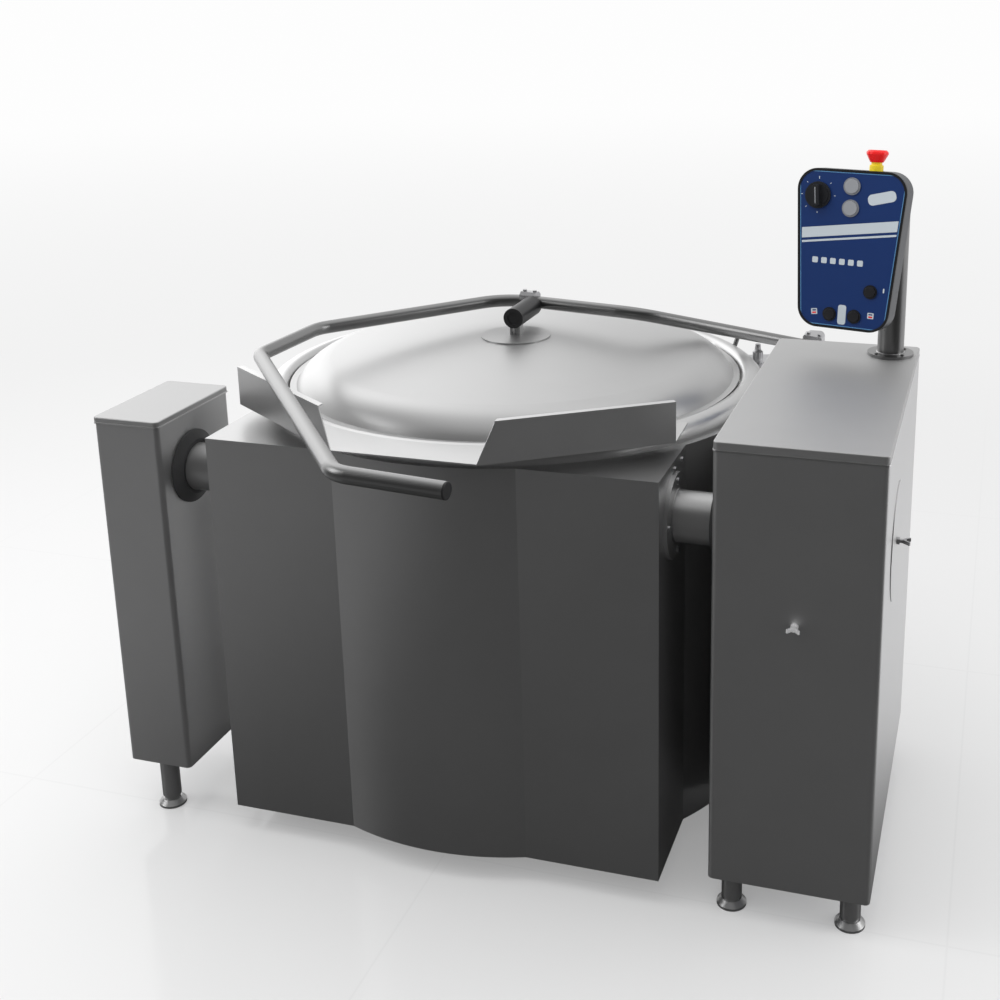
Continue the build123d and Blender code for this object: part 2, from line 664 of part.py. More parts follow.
def safety_valve():
    """Valve on an elbow behind the drum, its profile in multiples of its radius."""
    axis_r = DRUM_R + VALVE_OUT
    x, y = polar(axis_r, VALVE_ANGLE)
    flange_z = RIM_TOP - VALVE_DROP
    pipe_z = flange_z - 3 * VALVE_R
    neck_z = flange_z - 1.8 * VALVE_R
    elbow = [(0, -1), (1, -1), (1, 1)]
    profile = [(VALVE_ELBOW_R * across, pipe_z + VALVE_ELBOW_R * up) for across, up in elbow]
    profile += [(VALVE_PIPE_R, pipe_z + VALVE_ELBOW_R), (VALVE_PIPE_R, neck_z)]
    steps = [
        (0.4, -1.8), (0.95, -0.65), (0.95, -0.33), (1.15, -0.33), (1.15, 0.0), (0.9, 0.0),
        (0.9, 0.65), (1.0, 1.0), (1.0, 2.25), (0.6, 2.65),
    ]
    profile += [(VALVE_R * across, flange_z + VALVE_R * up) for across, up in steps]
    profile += [(VALVE_R / 2, flange_z + VALVE_STEM + VALVE_R / 2), (0, flange_z + VALVE_STEM + VALVE_R / 2)]
    valve = Pos(x, y, 0) * spin(profile)
    inside = polar(DRUM_R - PAST, VALVE_ANGLE)
    stub = Plane(origin=(*inside, pipe_z), z_dir=(x, y, 0))
    pipe = extrude(stub * Circle(VALVE_PIPE_R), amount=VALVE_OUT + PAST)
    pipe -= Pos(0, 0, pipe_z - PAST) * rod(DRUM_R, 2 * PAST)
    keep("safety_valve", valve + pipe)


def vent_pipe():
    """Pipe that rises from the deck behind the rim and leans outwards."""
    out_x, out_y = polar(cos(radians(VENT_RISE)), VENT_ANGLE)
    way = Vector(out_x, out_y, sin(radians(VENT_RISE)))
    foot = Vector(*polar(SHOULDER_R + VENT_OUT, VENT_ANGLE), CASING_TOP)
    pipe = extrude(Plane(origin=foot - way * PAST, z_dir=way) * Circle(VENT_R), amount=PAST + VENT_LENGTH)
    cap_plane = Plane(origin=foot + way * (VENT_LENGTH - VENT_CAP), z_dir=way)
    cap = extrude(cap_plane * Circle(VENT_R + VENT_CAP_EDGE), amount=VENT_CAP)
    below = Pos(0, 0, CASING_TOP - 2 * PAST) * rod(DRUM_R + PAST, 2 * PAST)
    keep("vent_pipe", pipe + cap - rim_body() - below)


def hinge_bracket():
    """Welded arm from the drum to the block that carries the lid's hinge pin."""
    y0 = HINGE_BLOCK_Y
    y1 = y0 + HINGE_BLOCK_LENGTH
    half = KNUCKLE_WIDTH / 2
    plate_top = HINGE_Z - HINGE_PLATE_DROP
    near, far = BRACKET_ROOT_ANGLES
    middle = (near + far) / 2
    outline = Polyline(
        polar(DRUM_R - BRACKET_ROOT_SINK, middle),
        polar(DRUM_R, near),
        (HINGE_X + half, y0),
        (HINGE_X + half, y1),
        (HINGE_X - half, y1),
        polar(DRUM_R, far),
        close=True,
    )
    arm = Pos(0, 0, plate_top - HINGE_PLATE) * extrude(make_face(outline), HINGE_PLATE)
    housing = block(HINGE_X - half, HINGE_X + half, y0, y1, plate_top, HINGE_Z + half)
    housing = fillet(housing.edges().filter_by(Axis.Y).group_by(Axis.Z)[-1], HINGE_BLOCK_ROUND)
    bore = rod(HINGE_PIN_R + RUN_CLEAR, HINGE_BLOCK_LENGTH + 2 * PAST)
    housing -= along_y(bore, HINGE_X, y0 - PAST, HINGE_Z)
    root = Vector(*polar(DRUM_R - BRACKET_ROOT_SINK, middle), plate_top - HINGE_PLATE)
    reach = Vector(HINGE_X, (y0 + y1) / 2, root.Z) - root
    web_plane = Plane(origin=root, x_dir=reach, z_dir=reach.cross(Vector(0, 0, 1)))
    web = Polyline(
        (0, 0),
        (reach.length, 0),
        (reach.length, -GUSSET_TIP),
        (BRACKET_ROOT_SINK, -GUSSET_DEPTH),
        (0, -GUSSET_DEPTH),
        close=True,
    )
    web = extrude(web_plane * make_face(web), GUSSET_HALF_SHEET, both=True)
    drum = Pos(0, 0, plate_top - 2 * GUSSET_DEPTH) * rod(DRUM_R, 3 * GUSSET_DEPTH)
    keep("lid_hinge_bracket", arm + housing + web - drum)


# Lid arm and lid

def arm_path():
    """The tube's centreline from the hinge block to the end of the grip."""
    bends = (ARM_BEND_B, ARM_BEND_C, ARM_BEND_D, ARM_BEND_E, ARM_BEND_F, ARM_GRIP_END)
    points = [Vector(HINGE_X - ARM_SEAT_OFFSET, KNUCKLE_Y, HINGE_Z)]
    points += [Vector(x, y, ARM_Z) for x, y in bends]
    return FilletPolyline(*points, radius=list(ARM_RADII))


def arm_knuckle():
    """Block at the tube's lower end, leaning with the tube, with a blind bore for the pin."""
    body = Box(KNUCKLE_WIDTH, KNUCKLE_DEPTH, KNUCKLE_HEIGHT)
    body = chamfer(body.edges().filter_by(Axis.Y), KNUCKLE_CHAMFER)
    for offset in (-KNUCKLE_BOLT_OFFSET, KNUCKLE_BOLT_OFFSET):
        body += Pos(offset, 0, KNUCKLE_HEIGHT / 2) * hexagon(KNUCKLE_BOLT_R, BOLT_HEAD)
    body = Pos(HINGE_X, KNUCKLE_Y, HINGE_Z) * Rot(0, KNUCKLE_TURN, 0) * body
    return body - along_y(rod(HINGE_PIN_R, 2 * KNUCKLE_BORE), HINGE_X, PIN_START_Y, HINGE_Z)


def arm():
    path = arm_path()
    section = Plane(origin=path @ 0, z_dir=path % 0)
    core = sweep(section * Circle(ARM_R), path=path)
    bore = sweep(section * Circle(ARM_R - ARM_WALL), path=path)
    knuckle = arm_knuckle()
    pipe = core - bore - knuckle
    keep("lid_arm", pipe.solids().sort_by(lambda solid: solid.volume)[-1])
    keep("arm_knuckle", knuckle)
    head_y = HINGE_BLOCK_Y + HINGE_BLOCK_LENGTH + SEAT_CLEAR
    pin = along_y(rod(HINGE_PIN_R, head_y - PIN_START_Y), HINGE_X, PIN_START_Y, HINGE_Z)
    keep("lid_hinge_pin", pin + along_y(rod(PIN_HEAD_R, PIN_HEAD), HINGE_X, head_y, HINGE_Z))
    tip = path @ 1
    way = path % 1
    plug = extrude(Plane(origin=tip, z_dir=way) * Circle(ARM_R), amount=ARM_PLUG)
    plug = fillet(plug.edges().sort_by(lambda edge: (edge.center() - tip).dot(way))[-1], ARM_PLUG_ROUND)
    plug += extrude(Plane(origin=tip, z_dir=way) * Circle(ARM_R - ARM_WALL), amount=-ARM_PLUG_STEM)
    keep("arm_end_plug", plug)
    arm_clamp(core)


def clamp_place():
    """Middle of the clamp on the tube, and the tube's heading there."""
    run = Vector(*ARM_BEND_C) - Vector(*ARM_BEND_B)
    y = ARM_BEND_B[1] + (CLAMP_X - ARM_BEND_B[0]) * run.Y / run.X
    return y, degrees(atan2(-run.Y, -run.X))


def arm_clamp(core):
    """Block clamped on the tube, with the pin that the lid's eye turns on."""
    y, heading = clamp_place()
    clamp = Box(CLAMP_LENGTH, CLAMP_DEPTH, CLAMP_HEIGHT)
    clamp = chamfer(clamp.edges().filter_by(Axis.X), CLAMP_CHAMFER)
    for offset in (-CLAMP_BOLT_OFFSET, CLAMP_BOLT_OFFSET):
        clamp += Pos(offset, 0, CLAMP_HEIGHT / 2) * hexagon(CLAMP_BOLT_R, BOLT_HEAD)
    clamp = Pos(CLAMP_X, y, ARM_Z) * Rot(0, 0, heading) * clamp
    pin_start = SLEEVE_FRONT + EYE_INSET
    clamp += along_y(rod(LID_PIN_R, y - pin_start), 0, pin_start, LID_PIN_Z)
    keep("arm_clamp", clamp - core)


def lid():
    outer = domed(LID_R, LID_CROWN, LID_KNUCKLE, LID_TOP, LID_SEAT)
    inner = domed(
        LID_R - LID_SHEET, LID_CROWN - LID_SHEET, LID_KNUCKLE - LID_SHEET, LID_TOP - LID_SHEET, LID_SEAT
    )
    keep("lid_dome", outer + Pos(0, 0, LID_SEAT) * rod(LID_R, LID_SHEET) - inner)
    gasket_z = VESSEL_SEAT_Z + SEAT_CLEAR
    gasket_r = LID_R - GASKET_INSET
    gasket = tube(gasket_r, gasket_r - GASKET_WIDTH, LID_SEAT - gasket_z)
    keep("lid_gasket", Pos(0, 0, gasket_z) * gasket)
    sleeve_length = clamp_place()[0] - CLAMP_DEPTH / 2 - SLEEVE_GAP - SLEEVE_FRONT
    eye_length = sleeve_length - 2 * EYE_INSET
    eye = along_y(rod(LID_EYE_R, eye_length), 0, SLEEVE_FRONT + EYE_INSET, LID_PIN_Z)
    boss = Pos(0, 0, LID_TOP - LID_BOSS_SINK) * rod(LID_BOSS_R, LID_BOSS_SINK + LID_BOSS) - outer
    stem_foot = LID_TOP + LID_BOSS / 2
    stem = Pos(0, STEM_Y, stem_foot) * rod(STEM_R, LID_PIN_Z - stem_foot)
    cheek_x = LID_EYE_R - CHEEK_INSET
    cheek_y0 = STEM_Y - CHEEK_DEPTH / 2
    cheek_y1 = STEM_Y + CHEEK_DEPTH / 2
    cheek = block(cheek_x - CHEEK, cheek_x, cheek_y0, cheek_y1, stem_foot, LID_PIN_Z)
    boss = boss + stem + cheek + mirror(cheek, about=Plane.YZ) + eye
    boss -= along_y(rod(LID_PIN_R + RUN_CLEAR, eye_length + 2 * PAST), 0, SLEEVE_FRONT - PAST, LID_PIN_Z)
    keep("lid_boss", boss)
    sleeve = tube(SLEEVE_R, LID_EYE_R + RUN_CLEAR, sleeve_length)
    sleeve = sleeve + rod(SLEEVE_R, SLEEVE_END) - rod(SLEEVE_R * 0.6, SLEEVE_RING)
    sleeve = along_y(sleeve, 0, SLEEVE_FRONT, LID_PIN_Z)
    slot_y0 = cheek_y0 - SEAT_CLEAR
    slot_y1 = cheek_y1 + SEAT_CLEAR
    slot = block(-LID_EYE_R, LID_EYE_R, slot_y0, slot_y1, LID_PIN_Z - 2 * SLEEVE_R, LID_PIN_Z)
    keep("lid_sleeve", sleeve - slot)


# Pillars

def pillar(side, width, depth, ahead, bottom, top, skirt, overhang):
    """Cover, top, back panel and welded frame of one pillar; returns the cover and the back."""
    name = "left" if side < 0 else "right"
    wall_x = LEFT_WALL_X if side < 0 else RIGHT_WALL_X
    front = TILT_Y - ahead
    at = Pos(wall_x + side * width / 2, front + depth / 2, 0)
    height = top - skirt - bottom
    inner = RectangleRounded(
        width - 2 * PILLAR_SHEET, depth - 2 * PILLAR_SHEET, PILLAR_CORNER - PILLAR_SHEET
    )
    cover = extrude(RectangleRounded(width, depth, PILLAR_CORNER) - inner, height)
    opening = Box(width - 2 * BACK_RETURN, 3 * PILLAR_SHEET, height - 2 * BACK_RETURN)
    cover -= Pos(0, depth / 2 - PILLAR_SHEET, height / 2) * opening
    cover = at * Pos(0, 0, bottom) * cover
    cover -= along_x(rod(SEAL_R - SEAL_LAP, 2 * PAST), wall_x - PAST, TILT_Y, TILT_Z)
    plate = Box(width - 2 * BACK_INSET, PILLAR_SHEET, height - 2 * BACK_INSET)
    plate = fillet(plate.edges().filter_by(Axis.Y), BACK_CORNER)
    back = at * Pos(0, depth / 2 + PILLAR_SHEET / 2, bottom + height / 2) * plate
    cap = extrude(RectangleRounded(width + 2 * overhang, depth + 2 * overhang, PILLAR_CORNER), skirt)
    cap = fillet(cap.faces().sort_by(Axis.Z)[-1].edges(), CAP_ROUND)
    cap -= extrude(inner, skirt - PILLAR_SHEET)
    keep(name + "_pillar_top", at * Pos(0, 0, top - skirt) * cap)
    keep(name + "_frame", pillar_frame(side, wall_x, width, front, depth, bottom, top - skirt))
    return cover, back


def pillar_frame(side, wall_x, width, front, depth, bottom, top):
    """Base plate, four posts, rails and the plate that carries the bearing."""
    far = wall_x + side * width
    x0, x1 = sorted((wall_x + side * PILLAR_SHEET, far - side * PILLAR_SHEET))
    y0, y1 = front + PILLAR_SHEET, front + depth - PILLAR_SHEET
    base = RectangleRounded(x1 - x0, y1 - y0, PILLAR_CORNER - PILLAR_SHEET)
    frame = Pos((x0 + x1) / 2, (y0 + y1) / 2, bottom) * extrude(base, BASE_PLATE)
    inset = FRAME_CLEAR + FRAME_TUBE / 2
    bore = FRAME_TUBE - 2 * FRAME_WALL
    post = extrude(Rectangle(FRAME_TUBE, FRAME_TUBE) - Rectangle(bore, bore), top - bottom - BASE_PLATE)
    for x in (x0 + inset, x1 - inset):
        for y in (y0 + inset, y1 - inset):
            frame += Pos(x, y, bottom + BASE_PLATE) * post
    near = wall_x + side * (PILLAR_SHEET + inset)
    rail_length = y1 - y0 - 2 * FRAME_CLEAR - 2 * FRAME_TUBE
    rail = Box(FRAME_TUBE, rail_length, FRAME_TUBE) - Box(bore, rail_length, bore)
    for z in (TILT_Z - CARRIER_HALF, TILT_Z + CARRIER_HALF):
        frame += Pos(near, (y0 + y1) / 2, z) * rail
    plate_x = near + side * (FRAME_TUBE / 2 + CARRIER_PLATE / 2)
    carrier = Box(CARRIER_PLATE, 2 * CARRIER_HALF, 2 * CARRIER_HALF + FRAME_TUBE)
    frame += Pos(plate_x, TILT_Y, TILT_Z) * carrier
    hole = rod(TRUNNION_R + CARRIER_CLEAR, 2 * (BEARING_START + PAST))
    return frame - along_x(hole, wall_x - BEARING_START - PAST, TILT_Y, TILT_Z)


def bearings_and_seals():
    """Flanged bearing, bush and rubber seal round each trunnion."""
    housings = []
    bushes = []
    seals = []
    bush_r = TRUNNION_R + RUN_CLEAR + BUSH_WALL
    seal_r = TRUNNION_R + SEAT_CLEAR
    for side, wall_x in ((-1, LEFT_WALL_X), (1, RIGHT_WALL_X)):
        start = abs(wall_x) + BEARING_START
        square = RectangleRounded(2 * BEARING_HALF, 2 * BEARING_HALF, BEARING_CORNER)
        housing = extrude(square, BEARING_FLANGE) + rod(BEARING_HUB_R, BEARING_HUB) - rod(bush_r, BEARING_HUB)
        housing = along_x(housing, start, TILT_Y, TILT_Z)
        bush = along_x(tube(bush_r, TRUNNION_R + RUN_CLEAR, BEARING_HUB), start, TILT_Y, TILT_Z)
        seal = spin(
            [
                (seal_r, 0), (SEAL_R, 0), (SEAL_R, SEAL_EDGE),
                (TRUNNION_R + SEAL_LIP, SEAL_LENGTH), (seal_r, SEAL_LENGTH),
            ]
        )
        seal = Pos(abs(wall_x), TILT_Y, TILT_Z) * Rot(0, -90, 0) * seal
        for kept, piece in ((housings, housing), (bushes, bush), (seals, seal)):
            kept.append(piece if side > 0 else mirror(piece, about=Plane.YZ))
    keep("bearing_housings", Compound(children=housings))
    keep("bearing_bushes", Compound(children=bushes))
    keep("trunnion_seals", Compound(children=seals))


def foot(height):
    """Round foot: a flange on the floor, a cone, a grooved neck and a tube up to the pillar."""
    cone_top = FOOT_FLANGE + FOOT_CONE
    return spin(
        [
            (0, 0),
            (FOOT_R, 0),
            (FOOT_R, FOOT_FLANGE),
            (FOOT_R - FOOT_GROOVE, FOOT_FLANGE + FOOT_GROOVE),
            (FOOT_TUBE_R, cone_top),
            (FOOT_TUBE_R - FOOT_GROOVE, cone_top),
            (FOOT_TUBE_R - FOOT_GROOVE, cone_top + FOOT_THREAD),
            (FOOT_TUBE_R, cone_top + FOOT_THREAD),
            (FOOT_TUBE_R, height),
            (0, height),
        ]
    )


def feet():
    """One foot under the left pillar's front and four under the right pillar."""
    left_x = LEFT_WALL_X - LEFT_WIDTH / 2 - LEFT_FOOT_OFFSET
    placed = [Pos(left_x, TILT_Y - LEFT_AHEAD + FOOT_INSET, 0) * foot(LEFT_BOTTOM)]
    for x in (RIGHT_WALL_X + FOOT_SIDE_INSET, RIGHT_FAR_X - FOOT_SIDE_INSET):
        for y in (RIGHT_FRONT_Y + FOOT_INSET, RIGHT_BACK_Y - FOOT_INSET):
            placed.append(Pos(x, y, 0) * foot(RIGHT_BOTTOM))
    keep("pillar_feet", Compound(children=placed))


# Tilt drive

def gear_outline(teeth, pitch_r, first_angle):
    """Involute teeth as one closed outline, with backlash taken off each flank."""
    base_r = pitch_r * cos(radians(PRESSURE_ANGLE))
    tip_r = pitch_r + ADDENDUM * GEAR_MODULE
    root_r = pitch_r - DEDENDUM * GEAR_MODULE
    start_r = max(base_r, root_r + GEAR_MODULE / 10)
    half_pitch = pi / (2 * teeth) - GEAR_BACKLASH / 2 / pitch_r

    def involute(radius):
        roll = sqrt(max((radius / base_r) ** 2 - 1, 0))
        return roll - atan2(roll, 1)

    at_pitch = involute(pitch_r)
    radii = [start_r + (tip_r - start_r) * step / 3 for step in range(4)]
    flank = [(root_r, half_pitch + at_pitch)]
    flank += [(r, half_pitch + at_pitch - involute(r)) for r in radii]
    points = []
    for tooth in range(teeth):
        middle = first_angle + 2 * pi * tooth / teeth
        points += [(r * cos(middle - half), r * sin(middle - half)) for r, half in flank]
        points += [(r * cos(middle + half), r * sin(middle + half)) for r, half in reversed(flank)]
    return make_face(Polyline(*points, close=True))


def tilt_drive():
    """Spur wheel on the right trunnion, pinion, worm gearbox and its motor; returns the rails' top."""
    gear_x = RIGHT_WALL_X + GEAR_START
    # Built about Z and turned to X, a point at angle a from X lands at -Z cos a, +Y sin a.
    wheel = extrude(gear_outline(GEAR_TEETH, GEAR_PITCH_R, pi / 2 + pi / GEAR_TEETH), GEAR_FACE)
    hub = rod(TRUNNION_R + GEAR_HUB_WALL, GEAR_FACE + 1.5 * GEAR_HUB_STEP)
    wheel += Pos(0, 0, -GEAR_HUB_STEP) * hub
    wheel -= Pos(0, 0, -PAST) * rod(TRUNNION_R, GEAR_FACE + 2 * PAST)
    keep("tilt_gear", along_x(wheel, gear_x, TILT_Y, TILT_Z))
    small = extrude(gear_outline(PINION_TEETH, PINION_PITCH_R, -pi / 2), GEAR_FACE)
    small += rod(PINION_SHAFT_R, GEAR_FACE + PINION_SHAFT)
    keep("tilt_pinion", along_x(small, gear_x, PINION_Y, TILT_Z))
    box_x = gear_x + GEAR_FACE + GEAR_GAP
    y0 = PINION_Y - GEARBOX_DEPTH / 2
    y1 = PINION_Y + GEARBOX_DEPTH / 2
    shelf_z = TILT_Z - GEARBOX_HEIGHT / 2
    housing = block(box_x, box_x + GEARBOX_LENGTH, y0, y1, shelf_z, TILT_Z + GEARBOX_HEIGHT / 2)
    housing = fillet(housing.edges().filter_by(Axis.X), GEARBOX_ROUND)
    housing += along_x(rod(GEARBOX_FACE_R, GEARBOX_FACE), box_x - GEARBOX_FACE, PINION_Y, TILT_Z)
    housing -= along_x(rod(PINION_SHAFT_R + RUN_CLEAR, GEAR_FACE + PINION_SHAFT), gear_x, PINION_Y, TILT_Z)
    rail_z = shelf_z - GEARBOX_PLATE
    plate = block(
        box_x, box_x + GEARBOX_LENGTH, y0 - GEARBOX_PLATE_EDGE, y1 + GEARBOX_PLATE_EDGE, rail_z, shelf_z
    )
    keep("tilt_gearbox", housing + plate)
    motor = rod(MOTOR_R, MOTOR_LENGTH)
    groove = Box(2 * FIN_DEPTH, FIN_GROOVE, MOTOR_LENGTH - 2 * MOTOR_CHEEK)
    for step in range(MOTOR_FINS):
        motor -= Rot(0, 0, 360 / MOTOR_FINS * step) * Pos(MOTOR_R, 0, MOTOR_LENGTH / 2) * groove
    centre_x = box_x + GEARBOX_LENGTH / 2
    terminals = Pos(centre_x, y1 + MOTOR_LENGTH / 2, TILT_Z + MOTOR_R + TERMINAL_BOX[2] / 2 - TERMINAL_SINK)
    keep("tilt_motor", along_y(motor, centre_x, y1, TILT_Z) + terminals * Box(*TERMINAL_BOX))
    return rail_z


def add_drive_rails(rail_z):
    """Rails in the right frame under the gearbox, with the control box hung below them."""
    inset = PILLAR_SHEET + FRAME_CLEAR + FRAME_TUBE
    x0 = RIGHT_WALL_X + inset
    x1 = RIGHT_FAR_X - inset
    y0 = RIGHT_FRONT_Y + inset
    y1 = RIGHT_BACK_Y - inset
    rail_low = rail_z - FRAME_TUBE
    frame = NODES["right_frame"]
    frame += block(x0 - FRAME_TUBE, x0, y0, y1, rail_low, rail_z)
    frame += block(x1, x1 + FRAME_TUBE, y0, y1, rail_low, rail_z)
    for y in (PINION_Y - DRIVE_RAIL_OFFSET, PINION_Y + DRIVE_RAIL_OFFSET):
        frame += block(x0, x1, y - FRAME_TUBE / 2, y + FRAME_TUBE / 2, rail_low, rail_z)
    keep("right_frame", frame)
    top = rail_low - HANGER
    left = RIGHT_WALL_X + CONTROL_INSET
    right = left + CONTROL_WIDTH
    back = y1 - CONTROL_BACK_GAP
    front = back - CONTROL_DEPTH
    sheet = CONTROL_SHEET
    case = block(left, right, front, back, top - CONTROL_HEIGHT, top)
    low = top - CONTROL_HEIGHT + sheet
    case -= block(left + sheet, right - sheet, front + sheet, back - sheet, low, top - sheet)
    for y in (front + CONTROL_BACK_GAP, back - CONTROL_BACK_GAP - HANGER_WIDTH):
        case += block(x0 - FRAME_TUBE / 2, x1 + FRAME_TUBE / 2, y, y + HANGER_WIDTH, top, top + HANGER)
    keep("control_box", case)


# Latches, side cover, post and panel

def wing_latch(plane, sheet):
    """Quarter-turn latch: tongue inside, stem through the sheet and a forked wing outside."""
    body = extrude(plane * Circle(LATCH_NECK_R), amount=LATCH_REACH)
    body += extrude(plane * Circle(LATCH_R), amount=LATCH_BASE)
    body += extrude(plane * Circle(LATCH_NECK_R), amount=-(sheet + LATCH_BEHIND))
    width, length, thickness = LATCH_TONGUE
    tongue = Pos(0, -LATCH_TONGUE_DROP) * RectangleRounded(width, length, LATCH_TONGUE_ROUND)
    body += extrude(plane.offset(-(sheet + SEAT_CLEAR)) * tongue, amount=-thickness)
    for side in (-1, 1):
        wing = Rot(0, side * LATCH_WING_LEAN, 0) * Box(*LATCH_WING)
        body += plane * Pos(side * LATCH_WING_OFFSET, 0, LATCH_REACH) * wing
    return body


def latches_and_side_cover(cover):
    cover_y = TILT_Y + SIDE_COVER_BACK
    cover_z = TILT_Z - SIDE_COVER_DROP
    cover -= along_x(rod(SIDE_COVER_R - SIDE_COVER_LAP, 2 * PAST), RIGHT_FAR_X - PAST, cover_y, cover_z)
    latch_x = RIGHT_WALL_X + RIGHT_WIDTH / 2
    latch_z = TILT_Z - FRONT_LATCH_DROP
    neck = rod(LATCH_NECK_R + RUN_CLEAR, 2 * PAST)
    cover -= along_y(neck, latch_x, RIGHT_FRONT_Y - PAST, latch_z)
    keep("right_pillar_cover", cover)
    disc = along_x(rod(SIDE_COVER_R, PILLAR_SHEET), RIGHT_FAR_X, cover_y, cover_z)
    disc = fillet(disc.edges().group_by(Axis.X)[-1], PILLAR_SHEET / 2)
    keep("side_cover", disc - along_x(neck, RIGHT_FAR_X - PAST, cover_y, cover_z))
    side_at = Vector(RIGHT_FAR_X + PILLAR_SHEET + SEAT_CLEAR, cover_y, cover_z)
    side_plane = Plane(origin=side_at, x_dir=(0, 1, 0), z_dir=(1, 0, 0))
    keep("side_latch", wing_latch(side_plane, 2 * PILLAR_SHEET + SEAT_CLEAR))
    front_at = Vector(latch_x, RIGHT_FRONT_Y - SEAT_CLEAR, latch_z)
    front_plane = Plane(origin=front_at, x_dir=(1, 0, 0), z_dir=(0, -1, 0))
    keep("front_latch", wing_latch(front_plane, PILLAR_SHEET + SEAT_CLEAR))


def panel_plane():
    """The panel's face: X across it, Y up it and Z out of it."""
    yaw = radians(PANEL_YAW)
    lean = radians(PANEL_LEAN)
    across = Vector(cos(yaw), -sin(yaw), 0)
    normal = Vector(-sin(yaw), -cos(yaw), 0) * cos(lean) + Vector(0, 0, sin(lean))
    at = Vector(RIGHT_WALL_X + PANEL_OUT, POST_Y - PANEL_AHEAD, RIGHT_TOP + PANEL_ABOVE)
    return Plane(origin=at, x_dir=across, z_dir=normal)


def panel_outline(inset):
    top = PANEL_TOP_WIDTH / 2
    low = PANEL_BOTTOM_WIDTH / 2
    half = PANEL_HEIGHT / 2
    face = make_face(Polyline((-top, half), (top, half), (low, -half), (-low, -half), close=True))
    face = fillet(face.vertices(), PANEL_CORNER)
    return offset(face, -inset) if inset else face


def push_button(x, y, radius):
    """Cap, ring and switch block of one push button, in the panel's own frame."""
    back = -PANEL_FACE_SINK - PANEL_PLATE
    cap_r = radius - BEZEL - BUTTON_CLEAR
    ring = Pos(x, y, -PANEL_FACE_SINK) * tube(radius, radius - BEZEL, BEZEL)
    cap_low = back + PANEL_PLATE / 3
    cap = Pos(x, y, cap_low) * rod(cap_r, BEZEL + PANEL_PLATE + BUTTON_PROUD)
    cap = fillet(cap.edges().group_by(Axis.Z)[-1], BUTTON_ROUND)
    switch_top = back - BUTTON_TRAVEL
    cap += Pos(x, y, switch_top - PLUNGER) * rod(PLUNGER_R, PLUNGER + cap_low - switch_top)
    switch = Pos(x, y, switch_top - SWITCH_BLOCK / 2) * Box(SWITCH_BLOCK, SWITCH_BLOCK, SWITCH_BLOCK)
    bore_low = switch_top - PLUNGER - BUTTON_TRAVEL - BUTTON_CLEAR
    switch -= Pos(x, y, bore_low) * rod(PLUNGER_R + BUTTON_CLEAR, PLUNGER + 2 * BUTTON_TRAVEL)
    if cap_r + BUTTON_CLEAR < SWITCH_BLOCK / 2:
        switch += Pos(x, y, switch_top) * tube(SWITCH_BLOCK / 2, cap_r + BUTTON_CLEAR, BUTTON_TRAVEL)
    hole = Pos(x, y, back) * rod(cap_r + BUTTON_CLEAR, PANEL_PLATE)
    return cap, ring, switch, hole


def knob(x, y):
    """Round knob with a bar across it, in the panel's own frame."""
    low = -PANEL_FACE_SINK + SEAT_CLEAR
    grip = extrude(Circle(KNOB_R - KNOB_SKIRT), KNOB_HEIGHT, taper=KNOB_TAPER)
    room = Box(KNOB_R, 2 * KNOB_R, KNOB_HEIGHT, align=(Align.MIN, Align.CENTER, Align.MIN))
    room = Pos(KNOB_GRIP / 2, 0, KNOB_GRIP_BASE) * room
    grip -= room + mirror(room, about=Plane.YZ)
    body = rod(KNOB_R, KNOB_SKIRT) + Rot(0, 0, KNOB_TURN) * grip
    shaft_length = KNOB_SHAFT + PANEL_PLATE + SEAT_CLEAR
    body += Pos(0, 0, -shaft_length) * rod(KNOB_SHAFT_R, shaft_length)
    return Pos(x, y, low) * body


def panel():
    plane = panel_plane()
    rim = extrude(panel_outline(0) - panel_outline(PANEL_RIM), PANEL_RIM_DEPTH)
    keep("panel_rim", plane * Pos(0, 0, -PANEL_RIM_DEPTH) * rim)
    back = -PANEL_FACE_SINK - PANEL_PLATE
    plate = Pos(0, 0, back) * extrude(panel_outline(PANEL_RIM), PANEL_PLATE)
    housing = Pos(0, 0, -PANEL_DEPTH) * extrude(panel_outline(0), PANEL_DEPTH - PANEL_RIM_DEPTH)
    housing = fillet(housing.faces().sort_by(Axis.Z)[0].edges(), PANEL_BACK_ROUND)
    housing -= Pos(0, 0, PANEL_WALL - PANEL_DEPTH) * extrude(panel_outline(PANEL_WALL), PANEL_DEPTH)
    seat = Plane(
        origin=(STOP_AT, PANEL_HEIGHT / 2, -PANEL_DEPTH / 2 - STOP_BEHIND), x_dir=(1, 0, 0), z_dir=(0, 1, 0)
    )
    housing -= extrude(seat.offset(-PAST) * Circle(STOP_STEM_R + BUTTON_CLEAR), 2 * PAST)
    keep("panel_housing", plane * housing)
    rings = []
    switches = []
    buttons = (
        ("grey_button_upper", GREY_AT[0], GREY_R),
        ("grey_button_lower", GREY_AT[1], GREY_R),
        ("black_button_right", BLACK_AT[0], BLACK_R),
        ("black_button_left", BLACK_AT[1], BLACK_R),
        ("black_button_middle", BLACK_AT[2], BLACK_R),
    )
    for name, (x, y), radius in buttons:
        cap, ring, switch, hole = push_button(x, y, radius)
        plate -= hole
        keep(name, plane * cap)
        rings.append(ring)
        switches.append(switch)
    x, y = KNOB_AT
    shaft_hole = Pos(x, y, -PANEL_DEPTH) * rod(KNOB_SHAFT_R + RUN_CLEAR, PANEL_DEPTH)
    keep("panel_plate", plane * (plate - shaft_hole))
    keep("temperature_knob", plane * knob(x, y))
    switches.append(Pos(x, y, back - REGULATOR[2] / 2) * Box(*REGULATOR) - shaft_hole)
    keep("button_bezels", plane * Compound(children=rings))
    keep("switch_blocks", plane * Compound(children=switches))
    stop_button(plane * seat.location)
    post()
    saddle(plane)


